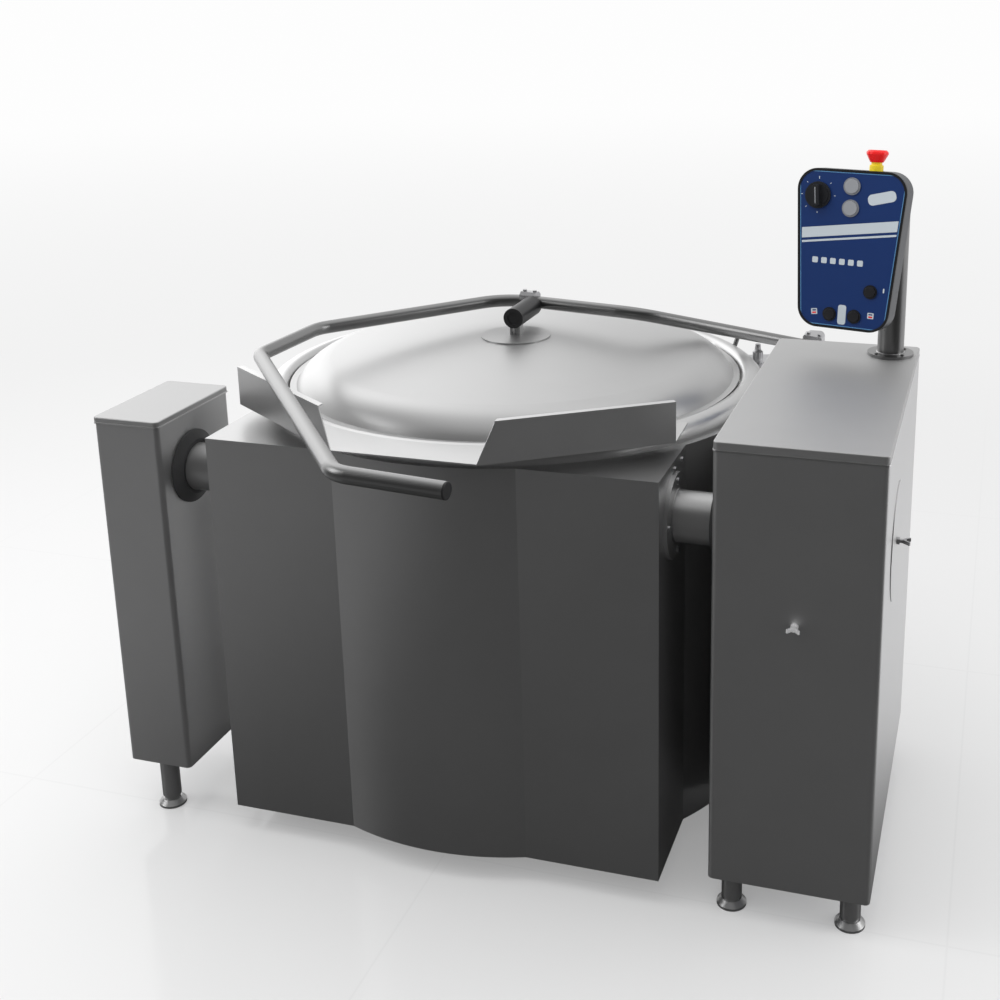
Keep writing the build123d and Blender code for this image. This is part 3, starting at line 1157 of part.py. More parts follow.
def stop_button(place):
    """Yellow collar on the housing's top and the red mushroom that presses down over it."""
    collar = rod(STOP_COLLAR_R, STOP_COLLAR)
    collar = fillet(collar.edges().group_by(Axis.Z)[-1], STOP_COLLAR_ROUND)
    collar += rod(STOP_GUARD_R, STOP_COLLAR + STOP_GUARD)
    collar -= rod(STOP_STEM_R + BUTTON_CLEAR, STOP_COLLAR + STOP_GUARD)
    keep("stop_collar", place * collar)
    low = STOP_COLLAR + STOP_TRAVEL + STOP_GAP
    top = low + STOP_HEIGHT
    cap = spin(
        [
            (0, low),
            (STOP_NECK_R, low),
            (STOP_R, top - 2 * STOP_EDGE),
            (STOP_R, top - STOP_EDGE),
            (STOP_R - STOP_EDGE, top),
            (0, top),
        ]
    )
    cap -= Pos(0, 0, low) * rod(STOP_GUARD_R + BUTTON_CLEAR, STOP_GUARD + STOP_GAP)
    cap += Pos(0, 0, -STOP_STEM) * rod(STOP_STEM_R, STOP_STEM + top - STOP_EDGE)
    keep("stop_button", place * cap)


def post():
    """The panel's post: a tube with a cap, on a bolted flange."""
    bore_r = POST_R - POST_WALL
    piece = tube(POST_R, bore_r, POST_HEIGHT) + tube(POST_FLANGE_R, bore_r, POST_FLANGE)
    piece += Pos(0, 0, POST_HEIGHT) * rod(POST_R, POST_CAP)
    for step in range(POST_BOLTS):
        x, y = polar((POST_R + POST_FLANGE_R) / 2, 360 * (step + 0.5) / POST_BOLTS)
        piece += Pos(x, y, POST_FLANGE) * rod(BOLT_R, POST_BOLT_HEAD)
    keep("panel_post", Pos(POST_X, POST_Y, RIGHT_TOP) * piece)


def saddle(plane):
    """Block between the panel's back and its post, hollowed to the post."""
    local = plane.to_local_coords(Vector(POST_X, POST_Y, plane.origin.Z))
    x = local.X - SADDLE_OFFSET
    half = SADDLE_HALF_WIDTH
    body = block(x - half, x + half, -SADDLE_HALF_HEIGHT, SADDLE_HALF_HEIGHT, -SADDLE_DEPTH, -PANEL_DEPTH)
    body = plane * body - Pos(POST_X, POST_Y, RIGHT_TOP) * rod(POST_R, POST_HEIGHT)
    keep("panel_bracket", body.solids().sort_by(lambda solid: solid.volume)[-1])


def build():
    casing()
    vessel()
    rim()
    jacket()
    trunnions()
    lip_and_guides()
    safety_valve()
    vent_pipe()
    hinge_bracket()
    arm()
    lid()
    left_cover, left_back = pillar(
        -1, LEFT_WIDTH, LEFT_DEPTH, LEFT_AHEAD, LEFT_BOTTOM, LEFT_TOP, LEFT_SKIRT, LEFT_OVERHANG
    )
    keep("left_pillar_cover", left_cover)
    right_cover, right_back = pillar(
        1, RIGHT_WIDTH, RIGHT_DEPTH, RIGHT_AHEAD, RIGHT_BOTTOM, RIGHT_TOP, RIGHT_SKIRT, 0.0
    )
    keep("pillar_backs", Compound(children=[left_back, right_back]))
    bearings_and_seals()
    feet()
    add_drive_rails(tilt_drive())
    latches_and_side_cover(right_cover)
    panel()


build()
boxes = [shape.bounding_box() for shape in NODES.values()]
low = [min(tuple(box.min)[k] for box in boxes) for k in range(3)]
high = [max(tuple(box.max)[k] for box in boxes) for k in range(3)]
shift = Vector(-(low[0] + high[0]) / 2, -(low[1] + high[1]) / 2, -low[2])
os.makedirs("parts", exist_ok=True)
for name, shape in NODES.items():
    export_step(Pos(shift) * shape, f"parts/{name}.step")
print(len(NODES), "nodes, shifted by", shift, "low", low, "high", high)
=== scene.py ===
from math import cos, radians, sin

import bpy
from mathutils import Matrix, Vector


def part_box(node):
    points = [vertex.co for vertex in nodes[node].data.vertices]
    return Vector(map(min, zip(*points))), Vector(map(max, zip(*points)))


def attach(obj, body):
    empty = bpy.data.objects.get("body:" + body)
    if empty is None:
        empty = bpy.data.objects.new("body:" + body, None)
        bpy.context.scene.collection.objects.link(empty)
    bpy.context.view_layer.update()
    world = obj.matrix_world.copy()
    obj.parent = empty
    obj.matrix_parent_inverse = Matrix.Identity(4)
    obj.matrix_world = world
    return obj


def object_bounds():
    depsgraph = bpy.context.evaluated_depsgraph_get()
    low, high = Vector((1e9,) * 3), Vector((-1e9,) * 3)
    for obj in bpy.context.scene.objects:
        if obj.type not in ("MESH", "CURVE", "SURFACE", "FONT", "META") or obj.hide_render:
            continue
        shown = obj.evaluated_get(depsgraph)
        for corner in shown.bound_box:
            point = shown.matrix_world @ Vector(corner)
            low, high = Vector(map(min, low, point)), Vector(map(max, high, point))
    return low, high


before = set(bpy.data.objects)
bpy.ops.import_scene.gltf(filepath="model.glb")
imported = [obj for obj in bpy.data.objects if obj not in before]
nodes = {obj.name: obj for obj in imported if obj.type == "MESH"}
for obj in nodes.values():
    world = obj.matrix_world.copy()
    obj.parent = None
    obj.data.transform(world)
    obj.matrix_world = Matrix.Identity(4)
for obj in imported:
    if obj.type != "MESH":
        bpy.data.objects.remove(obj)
cad_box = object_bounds()

# Camera, placed from the right pillar's front lower inner corner, in metres and degrees
CAMERA_FROM_PILLAR = (0.45213, -2.15484, 1.63705)
CAMERA_YAW = 16.8
CAMERA_PITCH = -14.9
CAMERA_ROLL = -0.6
CAMERA_LENS = 48.83
CAMERA_SENSOR = 36
CAMERA_SHIFT = (-0.100, -0.165)
CAMERA_REACH = 90

# The drawing's own origin in the frame, found from the right pillar's corner, in metres
PILLAR_CORNER = (0.544, -0.514)
pillar_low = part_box("right_pillar_cover")[0]
ORIGIN = Vector((pillar_low[0] - PILLAR_CORNER[0], pillar_low[1] - PILLAR_CORNER[1], 0))

# Control panel in the drawing, in millimetres and degrees
PANEL_AT = (698.8, 40.0, 1175.8)
PANEL_YAW = 12.9
PANEL_LEAN = 6.6
PANEL_TOP_WIDTH = 234.0
PANEL_BOTTOM_WIDTH = 187.0
PANEL_HEIGHT = 322.0
PANEL_CORNER = 42.0

# Print on the panel, in millimetres across, up and out from the front of its rim
FACE = -1.0
PRINT_DEPTH = 0.25
OVER_PRINT = FACE + 0.2
LINE_INSET = 5.6
LINE_WIDTH = 1.5
# Band: middle's height at the left edge and at the right edge, and the band's own height
PALE_BANDS = ((26, 58, 21), (8, 40, 4))
BAND_REACH = 1.3
BAND_INSET = 9.0
# Patch: across, up, width, height, corner radius and turn
PALE_PATCHES = (
    (64, 109, 58, 22, 9, 14),
    (-1, -131, 17, 40, 5, 0),
    (-60, -130, 13, 12, 1.5, 8),
    (59, -127, 13, 12, 1.5, 0),
    (82, -74, 3, 9, 1.0, 0),
)
RED_PATCHES = ((-60, -132.5, 8, 3.4, 0.8, 8), (59, -129.5, 8, 3.4, 0.8, 0))
DARK_PATCHES = ((-60, -127.5, 8, 2.6, 0.8, 8), (59, -124.5, 8, 2.6, 0.8, 0))
# Shape, here and below: width, height and corner radius
SQUARES = 6
SQUARES_AT = (-66, -24)
SQUARE_STEP = 19
SQUARE_SHAPE = (12, 12, 2.5)

# Knob and grey buttons on the panel, in the same millimetres
KNOB_AT = (-69.0, 107.0)
KNOB_TOP = 18.3
KNOB_TURN = 5.0
POINTER_SHAPE = (1.8, 33, 0.8)
MARK_DEPTH = 0.2
TICK_RADIUS = 35
TICK_TURN = 45
TICK_LEFT_OUT = 225
TICK_LENGTH = 3.0
TOP_TICK_LENGTH = 5.5
TICK_WIDTH = 1.4
TICK_CORNER = 0.5
# Grey button: name, height on the face and turn of the three bars on its cap
GREY_BUTTONS = (("upper", 128.6, 0), ("lower", 84.7, 90))
GREY_BUTTON_ACROSS = 1.0
BEZEL_PROUD = 2.8
CAP_PROUD = 1.2
CAP_TOP = FACE + BEZEL_PROUD + CAP_PROUD
BAR_STEPS = (-4.5, 0, 4.5)
BAR_SHAPE = (14, 2.2, 0.9)

# Welds, bolts and screws in the drawing, in millimetres
TILT_AT = (-411.0, 758.0)
TRUNNION_WELD_X = 459
TRUNNION_WELD_RADIUS = 48.5
TRUNNION_WELD_THICKNESS = 2.2
POST_AT = (788.0, 119.0)
POST_FLANGE = 6.0
POST_WELD_RADIUS = 27.8
POST_WELD_THICKNESS = 1.8
CASING_BOLT_X = 451.0
CASING_BOLT_Y = (-347, -402)
CASING_BOLT_Z = 844
CASING_BOLT_RADIUS = 5.0
CASING_BOLT_HEAD = 3.5
CASING_BOLT_CHAMFER = 0.7
# Back screws: side, then the places across on that side's panel
BACK_SCREW_COLUMNS = ((-1, (-688, -568)), (1, (558, 830)))
BACK_SCREW_Z = (150, 500, 840)
SCREW_RADIUS = 5.0
SCREW_HEAD = 2.4
SCREW_CHAMFER = 0.8
SOCKET_RADIUS = 2.5
SOCKET_FLOOR = 1.5
SOCKET_REACH = 3.0

# Folded hems under the pillars' tops, in metres
HEM_HEIGHT = 0.003
HEM_PROUD = 0.0008
HEM_LAP = 0.0004
HEM_CORNER = 0.008
HEM_ROUND = 0.6 * HEM_PROUD

# Surface relief in metres, and how noise turns into tone and dust
NOISE_MIDDLE = 0.5
CLOUD_SHARE = 0.6
HAND_SHARE = 0.4
TONE_LOW = 0.95
TONE_SPAN = 0.10
STEEL_RELIEF = 0.0004
MOULDED_RELIEF = 0.0003
MOULDED_SPREAD = 0.12
DUST_COLOUR = (0.5, 0.5, 0.5)
BLACK_BEZEL = (0.012, 0.012, 0.014)
GREY_BEZEL = (0.22, 0.23, 0.25)
BEZEL_CHANGE = PANEL_AT[2] / 1000 + 0.02
BEZEL_CHANGE_HALF = 0.01
BEZEL_LIFT = 0.06

# Floor, in metres
FLOOR_HALF = 30.0
TILE = (0.988, 1.048)
TILE_START = (-0.005, -0.480)
TILE_JOINT = 0.004
TILE_COLOUR = (0.80, 0.80, 0.795)
JOINT_COLOUR = (0.35, 0.35, 0.35)
JOINT_STRENGTH = 0.10
FLOOR_ROUGHNESS = 0.12
FLOOR_SHINE = 0.4
# Ramp: start and end of the change, then the values at the two
FLOOR_BEHIND = (-0.2, 0.6, 0.045, 0.9)
FLOOR_LEFT = (-0.5, -1.5, 0.0, 0.13)
FLOOR_TO_WHITE = (0.8, 4.5, 0.30, 1.0)
FLOOR_WHITE = (2.0, 16.0, 0.88, 0.985)

# Sky, with ramps of the same kind over its direction, and lamps
SKY_BEHIND = (-0.25, 0.7, 0.06, 0.80)
SKY_LEFT = (-0.1, -0.75, 0.0, 1.3)
SKY_LEFT_BACK = (0.0, 0.6, 0.0, 1.0)
SKY_OVERHEAD = (0.72, 0.92, 0.0, 0.55)
SKY_LIGHT = (0.86, 0.86, 0.87)
SKY_SEEN = (0.985, 0.985, 0.985)
# Lamp: name, place, aim, size, watts and whether metal reflects it
LAMPS = (
    ("top_softbox", (-0.6, -0.2, 3.4), (0, 0, 0.8), (2.6, 2.0), 30, False),
    ("left_softbox", (-3.2, -1.4, 2.6), (0, -0.1, 0.8), (1.6, 2.0), 26, True),
    ("right_softbox", (3.4, 0.4, 2.0), (0.3, 0, 0.8), (1.4, 2.0), 20, True),
)


def deselect():
    """Leave object mode with nothing selected."""
    if bpy.context.object and bpy.context.object.mode != "OBJECT":
        bpy.ops.object.mode_set(mode="OBJECT")
    bpy.ops.object.select_all(action="DESELECT")


def pick(pieces):
    """Select these pieces only, the first of them active."""
    deselect()
    for piece in pieces:
        piece.select_set(True)
    bpy.context.view_layer.objects.active = pieces[0]


def rename(piece, name):
    piece.name = name
    piece.data.name = name
    return piece


def settle(piece, name):
    """Put a finished piece's place into its mesh and name it."""
    pick([piece])
    bpy.ops.object.transform_apply(location=True, rotation=True, scale=True)
    return rename(piece, name)


def join(pieces, name):
    """Make one piece of several that share a material and a body."""
    pick(pieces)
    if len(pieces) > 1:
        bpy.ops.object.join()
    return rename(bpy.context.object, name)


def drawing(x, y, z):
    """A place given in the drawing's millimetres."""
    return ORIGIN + Vector((x, y, z)) / 1000


def finish_piece(piece, finish, body):
    """Give a piece its finish and the body that it rides on."""
    piece.data.materials.clear()
    piece.data.materials.append(FINISHES[finish])
    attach(piece, body)


# Camera

def add_camera():
    data = bpy.data.cameras.new("view")
    data.sensor_width = CAMERA_SENSOR
    data.lens = CAMERA_LENS
    data.shift_x, data.shift_y = CAMERA_SHIFT
    data.clip_end = CAMERA_REACH
    camera = bpy.data.objects.new("view", data)
    bpy.context.scene.collection.objects.link(camera)
    turn = Matrix.Rotation(radians(CAMERA_YAW), 4, "Z")
    turn @= Matrix.Rotation(radians(90 + CAMERA_PITCH), 4, "X")
    turn @= Matrix.Rotation(radians(CAMERA_ROLL), 4, "Z")
    place = Vector(pillar_low) + Vector(CAMERA_FROM_PILLAR)
    camera.matrix_world = Matrix.Translation(place) @ turn
    bpy.context.scene.camera = camera


# Node groups shared by the materials

def new_group(name, inputs, outputs):
    group = bpy.data.node_groups.new(name, "ShaderNodeTree")
    for label, kind, value in inputs:
        socket = group.interface.new_socket(name=label, in_out="INPUT", socket_type=kind)
        socket.default_value = value
    for label, kind in outputs:
        group.interface.new_socket(name=label, in_out="OUTPUT", socket_type=kind)
    start = group.nodes.new("NodeGroupInput")
    end = group.nodes.new("NodeGroupOutput")
    return group, start, end


def math_node(tree, operation, a, b=None, clamp=False):
    node = tree.nodes.new("ShaderNodeMath")
    node.operation = operation
    node.use_clamp = clamp
    for socket, value in zip(node.inputs, (a, b)):
        if value is None:
            continue
        if isinstance(value, (int, float)):
            socket.default_value = value
        else:
            tree.links.new(value, socket)
    return node.outputs[0]


def plus(tree, a, b, clamp=False):
    return math_node(tree, "ADD", a, b, clamp)


def minus(tree, a, b):
    return math_node(tree, "SUBTRACT", a, b)


def times(tree, a, b):
    return math_node(tree, "MULTIPLY", a, b)


def ramp(tree, value, low, high, at_low, at_high):
    """A smooth change from one value to another."""
    node = tree.nodes.new("ShaderNodeMapRange")
    node.interpolation_type = "SMOOTHSTEP"
    tree.links.new(value, node.inputs["Value"])
    node.inputs["From Min"].default_value = low
    node.inputs["From Max"].default_value = high
    node.inputs["To Min"].default_value = at_low
    node.inputs["To Max"].default_value = at_high
    return node.outputs["Result"]


def noise(tree, vector, scale, detail, roughness=0.55):
    node = tree.nodes.new("ShaderNodeTexNoise")
    node.inputs["Detail"].default_value = detail
    node.inputs["Roughness"].default_value = roughness
    if isinstance(scale, (int, float)):
        node.inputs["Scale"].default_value = scale
    else:
        tree.links.new(scale, node.inputs["Scale"])
    tree.links.new(vector, node.inputs["Vector"])
    return node.outputs["Fac"]


def coordinates(tree, kind="Object"):
    return tree.nodes.new("ShaderNodeTexCoord").outputs[kind]


def split(tree, vector):
    """The three numbers of a vector."""
    node = tree.nodes.new("ShaderNodeSeparateXYZ")
    tree.links.new(vector, node.inputs[0])
    return node.outputs


def build_grain_group():
    """Fine brushing lines along one axis, over broad clouds and hand smudges."""
    group, start, end = new_group(
        "steel_grain",
        [("Stretch", "NodeSocketVector", (6.0, 900.0, 900.0)), ("Roughness", "NodeSocketFloat", 0.3),
         ("Grain", "NodeSocketFloat", 0.08), ("Smudge", "NodeSocketFloat", 0.08)],
        [("Roughness", "NodeSocketFloat"), ("Height", "NodeSocketFloat"), ("Tone", "NodeSocketFloat")],
    )
    place = coordinates(group)
    stretch = group.nodes.new("ShaderNodeVectorMath")
    stretch.operation = "MULTIPLY"
    group.links.new(place, stretch.inputs[0])
    group.links.new(start.outputs["Stretch"], stretch.inputs[1])
    lines = noise(group, stretch.outputs[0], scale=1.0, detail=6.0, roughness=0.7)
    clouds = noise(group, place, scale=5.0, detail=3.0)
    hands = noise(group, place, scale=17.0, detail=5.0, roughness=0.6)
    grain = times(group, minus(group, lines, NOISE_MIDDLE), start.outputs["Grain"])
    wear = plus(group, times(group, clouds, CLOUD_SHARE), times(group, hands, HAND_SHARE))
    smudge = times(group, minus(group, wear, NOISE_MIDDLE), start.outputs["Smudge"])
    rough = plus(group, start.outputs["Roughness"], plus(group, grain, smudge))
    tone = plus(group, TONE_LOW, times(group, wear, TONE_SPAN))
    group.links.new(rough, end.inputs["Roughness"])
    group.links.new(lines, end.inputs["Height"])
    group.links.new(tone, end.inputs["Tone"])
    return group


def build_speckle_group():
    """Fine moulded grain for plastics and rubber, with faint dust."""
    group, start, end = new_group(
        "moulded_grain",
        [("Scale", "NodeSocketFloat", 900.0), ("Roughness", "NodeSocketFloat", 0.5),
         ("Amount", "NodeSocketFloat", 0.1), ("Dust", "NodeSocketFloat", 0.1)],
        [("Roughness", "NodeSocketFloat"), ("Height", "NodeSocketFloat"), ("Dust", "NodeSocketFloat")],
    )
    place = coordinates(group)
    fine = noise(group, place, scale=start.outputs["Scale"], detail=3.0)
    broad = noise(group, place, scale=14.0, detail=5.0, roughness=0.6)
    change = times(group, minus(group, fine, NOISE_MIDDLE), start.outputs["Amount"])
    group.links.new(plus(group, start.outputs["Roughness"], change), end.inputs["Roughness"])
    group.links.new(fine, end.inputs["Height"])
    group.links.new(times(group, broad, start.outputs["Dust"]), end.inputs["Dust"])
    return group


def base_material(name):
    material = bpy.data.materials.new(name)
    material.use_nodes = True
    tree = material.node_tree
    shader = tree.nodes["Principled BSDF"]
    return material, tree, shader


def bump(tree, shader, height, strength, distance):
    node = tree.nodes.new("ShaderNodeBump")
    node.inputs["Strength"].default_value = strength
    node.inputs["Distance"].default_value = distance
    tree.links.new(height, node.inputs["Height"])
    tree.links.new(node.outputs["Normal"], shader.inputs["Normal"])


def blend(tree, kind, factor, first, second):
    """Mix two colours, each a plain colour or a socket."""
    mix = tree.nodes.new("ShaderNodeMix")
    mix.data_type = "RGBA"
    mix.blend_type = kind
    if isinstance(factor, (int, float)):
        mix.inputs[0].default_value = factor
    else:
        tree.links.new(factor, mix.inputs[0])
    for socket, value in ((mix.inputs[6], first), (mix.inputs[7], second)):
        if isinstance(value, tuple):
            socket.default_value = (*value, 1)
        else:
            tree.links.new(value, socket)
    return mix.outputs[2]


def steel(name, colour, roughness, stretch, grain=0.06, smudge=0.06, lift=0.015, metal=1.0):
    """Stainless steel, brushed along the axis that is stretched least."""
    material, tree, shader = base_material(name)
    shader.inputs["Metallic"].default_value = metal
    node = tree.nodes.new("ShaderNodeGroup")
    node.node_tree = GRAIN
    node.inputs["Stretch"].default_value = stretch
    node.inputs["Roughness"].default_value = roughness
    node.inputs["Grain"].default_value = grain
    node.inputs["Smudge"].default_value = smudge
    tree.links.new(node.outputs["Roughness"], shader.inputs["Roughness"])
    colour = blend(tree, "MULTIPLY", 1.0, colour, node.outputs["Tone"])
    tree.links.new(colour, shader.inputs["Base Color"])
    bump(tree, shader, node.outputs["Height"], lift, STEEL_RELIEF)
    return material


def moulded(name, colour, roughness, scale, lift, dust=0.08):
    """Plastic or rubber with a fine moulded grain."""
    material, tree, shader = base_material(name)
    node = tree.nodes.new("ShaderNodeGroup")
    node.node_tree = SPECKLE
    node.inputs["Scale"].default_value = scale
    node.inputs["Roughness"].default_value = roughness
    node.inputs["Amount"].default_value = MOULDED_SPREAD
    node.inputs["Dust"].default_value = dust
    tree.links.new(node.outputs["Roughness"], shader.inputs["Roughness"])
    colour = blend(tree, "MIX", node.outputs["Dust"], colour, DUST_COLOUR)
    tree.links.new(colour, shader.inputs["Base Color"])
    bump(tree, shader, node.outputs["Height"], lift, MOULDED_RELIEF)
    return material


def bezel_plastic():
    """Black rings low on the panel and grey ones above, as their buttons are."""
    material, tree, shader = base_material("bezel_plastic")
    node = tree.nodes.new("ShaderNodeGroup")
    node.node_tree = SPECKLE
    tree.links.new(node.outputs["Roughness"], shader.inputs["Roughness"])
    height = split(tree, coordinates(tree))[2]
    low = BEZEL_CHANGE - BEZEL_CHANGE_HALF
    high = BEZEL_CHANGE + BEZEL_CHANGE_HALF
    above = ramp(tree, height, low, high, 0.0, 1.0)
    colour = blend(tree, "MIX", above, BLACK_BEZEL, GREY_BEZEL)
    tree.links.new(colour, shader.inputs["Base Color"])
    bump(tree, shader, node.outputs["Height"], BEZEL_LIFT, MOULDED_RELIEF)
    return material


GRAIN = build_grain_group()
SPECKLE = build_speckle_group()

UPRIGHT = (900.0, 900.0, 5.0)
LEVEL_X = (5.0, 900.0, 900.0)
LEVEL_Y = (900.0, 5.0, 900.0)
EVEN = (220.0, 220.0, 220.0)

FINISHES = {
    "pillar_sheet": steel("pillar_sheet", (0.60, 0.60, 0.60), 0.40, UPRIGHT, metal=0.95),
    "top_sheet": steel("top_sheet", (0.56, 0.56, 0.56), 0.56, LEVEL_Y, metal=0.93),
    "casing_sheet": steel("casing_sheet", (0.55, 0.55, 0.55), 0.38, UPRIGHT, metal=0.96),
    "guide_sheet": steel("guide_sheet", (0.62, 0.62, 0.62), 0.36, LEVEL_X, metal=0.92),
    "rim_steel": steel("rim_steel", (0.62, 0.62, 0.62), 0.34, EVEN, 0.05, 0.05, 0.01, 0.94),
    "lid_steel": steel("lid_steel", (0.56, 0.56, 0.56), 0.40, EVEN, 0.04, 0.04, 0.01, 0.95),
    "vessel_steel": steel("vessel_steel", (0.62, 0.62, 0.61), 0.26, EVEN, 0.08, 0.10, 0.04),
    "tube_steel": steel("tube_steel", (0.29, 0.29, 0.29), 0.32, EVEN, 0.06, 0.06, 0.02),
    "trunnion_steel": steel("trunnion_steel", (0.48, 0.48, 0.48), 0.36, EVEN, 0.06, 0.06, 0.02, 0.9),
    "machined_steel": steel("machined_steel", (0.50, 0.50, 0.51), 0.34, EVEN, 0.10, 0.10, 0.04),
    "weld_steel": steel("weld_steel", (0.46, 0.46, 0.46), 0.42, EVEN, 0.16, 0.14, 0.5),
    "primed_steel": moulded("primed_steel", (0.26, 0.27, 0.29), 0.55, 400.0, 0.2),
    "cast_grey": moulded("cast_grey", (0.20, 0.21, 0.23), 0.55, 300.0, 0.35),
    "black_rubber": moulded("black_rubber", (0.018, 0.018, 0.019), 0.55, 700.0, 0.15),
    "white_silicone": moulded("white_silicone", (0.75, 0.75, 0.72), 0.5, 500.0, 0.05, 0.02),
    "black_plastic": moulded("black_plastic", (0.008, 0.008, 0.009), 0.42, 900.0, 0.12, 0.02),
    "navy_face": moulded("navy_face", (0.0, 0.028, 0.150), 0.42, 700.0, 0.02, 0.004),
    "housing_shell": moulded("housing_shell", (0.06, 0.063, 0.07), 0.42, 900.0, 0.1, 0.03),
    "pale_print": moulded("pale_print", (0.56, 0.62, 0.66), 0.35, 700.0, 0.02, 0.01),
    "sky_print": moulded("sky_print", (0.10, 0.28, 0.52), 0.35, 700.0, 0.02, 0.01),
    # Hems: steel brighter than the pillars' sheet, a painted highlight for the light line along the
    # tops' lower edges.
    "hem_painted_highlight_steel": steel("hem_painted_highlight_steel", (0.74, 0.74, 0.74), 0.30, LEVEL_X, 0.05, 0.05, 0.01),
    # Front latch: pale, half-metal steel, a painted highlight that stands in for the glints on its
    # small chrome wings.
    "latch_painted_highlight": steel("latch_painted_highlight", (0.78, 0.78, 0.78), 0.30, EVEN, 0.05, 0.05, 0.01, 0.4),
    "red_print": moulded("red_print", (0.80, 0.02, 0.02), 0.35, 700.0, 0.02, 0.01),
    "grey_cap": moulded("grey_cap", (0.30, 0.31, 0.33), 0.4, 800.0, 0.06),
    "black_cap": moulded("black_cap", (0.012, 0.012, 0.014), 0.25, 800.0, 0.05, 0.03),
    "dark_knob": moulded("dark_knob", (0.012, 0.013, 0.016), 0.35, 700.0, 0.1, 0.03),
    "yellow_collar": moulded("yellow_collar", (0.90, 0.68, 0.01), 0.32, 700.0, 0.05, 0.02),
    "red_cap": moulded("red_cap", (0.93, 0.006, 0.006), 0.28, 700.0, 0.05, 0.02),
    "bronze": steel("bronze", (0.55, 0.38, 0.18), 0.35, EVEN, 0.10, 0.10, 0.06),
    "wool_cloth": moulded("wool_cloth", (0.62, 0.58, 0.46), 0.9, 260.0, 0.9, 0.1),
    "bezel_plastic": bezel_plastic(),
    "heater_sheath": steel("heater_sheath", (0.22, 0.20, 0.19), 0.45, EVEN, 0.10, 0.12, 0.10),
}

NODE_FINISH = {
    "left_pillar_cover": "pillar_sheet",
    "right_pillar_cover": "pillar_sheet",
    "pillar_backs": "pillar_sheet",
    "side_cover": "pillar_sheet",
    # The latch's pale steel is a painted highlight.
    "front_latch": "latch_painted_highlight",
    "left_pillar_top": "top_sheet",
    "right_pillar_top": "top_sheet",
    "kettle_casing": "casing_sheet",
    "casing_floor": "casing_sheet",
    "casing_deck": "casing_sheet",
    "kettle_rim": "rim_steel",
    "pouring_lip": "guide_sheet",
    "splash_guides": "guide_sheet",
    "lid_dome": "lid_steel",
    "lid_boss": "lid_steel",
    "inner_vessel": "vessel_steel",
    "lid_arm": "tube_steel",
    "panel_post": "tube_steel",
    "vent_pipe": "tube_steel",
    "pillar_feet": "trunnion_steel",
    "left_trunnion": "trunnion_steel",
    "right_trunnion": "trunnion_steel",
    "left_frame": "primed_steel",
    "right_frame": "primed_steel",
    "control_box": "primed_steel",
    "bearing_housings": "cast_grey",
    "tilt_gearbox": "cast_grey",
    "tilt_motor": "cast_grey",
    "bearing_bushes": "bronze",
    "trunnion_seals": "black_rubber",
    "lid_gasket": "white_silicone",
    "lid_sleeve": "black_plastic",
    "arm_end_plug": "black_plastic",
    "panel_rim": "black_plastic",
    "panel_housing": "housing_shell",
    "panel_plate": "navy_face",
    "button_bezels": "bezel_plastic",
    "switch_blocks": "black_plastic",
    "stop_collar": "yellow_collar",
    "stop_button": "red_cap",
    "temperature_knob": "dark_knob",
    "grey_button_upper": "grey_cap",
    "grey_button_lower": "grey_cap",
    "black_button_right": "black_cap",
    "black_button_left": "black_cap",
    "black_button_middle": "black_cap",
    "insulation_wrap": "wool_cloth",
    "heating_elements": "heater_sheath",
}


def dress_nodes():
    """Every CAD node gets its finish, machined steel where none is named."""
    for name, node in nodes.items():
        material = FINISHES[NODE_FINISH.get(name, "machined_steel")]
        for place in node.material_slots:
            place.material = material
        if not node.material_slots:
            node.data.materials.append(material)


# Panel print, made flat on the panel's face and then carried to it

def panel_matrix():
    yaw = radians(PANEL_YAW)
    lean = radians(PANEL_LEAN)
    across = Vector((cos(yaw), -sin(yaw), 0))
    out = Vector((-sin(yaw) * cos(lean), -cos(yaw) * cos(lean), sin(lean)))
    up = out.cross(across)
    place = Matrix((across, up, out)).transposed().to_4x4()
    return Matrix.Translation(drawing(*PANEL_AT)) @ place @ Matrix.Scale(0.001, 4)


def on_panel(piece):
    """Carry a piece drawn in the panel's millimetres onto the panel."""
    settle(piece, piece.name)
    piece.matrix_world = panel_matrix()
    settle(piece, piece.name)


def add_print(pieces, name, finish, body="stand"):
    """Carry flat pieces onto the panel and make them one."""
    for piece in pieces:
        on_panel(piece)
    finish_piece(join(pieces, name), finish, body)


def flat_plane():
    """A square of one unit at the origin."""
    deselect()
    bpy.ops.mesh.primitive_plane_add(size=1, location=(0, 0, 0))
    return bpy.context.object


def open_plane(width, height):
    """A flat rectangle about the origin, open for editing with everything selected."""
    plane = flat_plane()
    plane.scale = (width, height, 1)
    bpy.ops.object.transform_apply(location=False, rotation=False, scale=True)
    bpy.ops.object.mode_set(mode="EDIT")
    bpy.ops.mesh.select_all(action="SELECT")
    return plane


def thicken(depth):
    bpy.ops.mesh.select_all(action="SELECT")
    bpy.ops.mesh.extrude_region_move(TRANSFORM_OT_translate={"value": (0, 0, depth)})
    bpy.ops.mesh.select_all(action="SELECT")
    bpy.ops.mesh.normals_make_consistent(inside=False)


def rounded_patch(u, v, width, height, corner, turn=0.0, base=FACE, depth=PRINT_DEPTH):
    """A thin printed patch with rounded corners."""
    patch = open_plane(width, height)
    bpy.ops.mesh.bevel(offset=corner, segments=5, affect="VERTICES")
    thicken(depth)
    bpy.ops.object.mode_set(mode="OBJECT")
    patch.location = (u, v, base)
    patch.rotation_euler = (0, 0, radians(turn))
    return patch


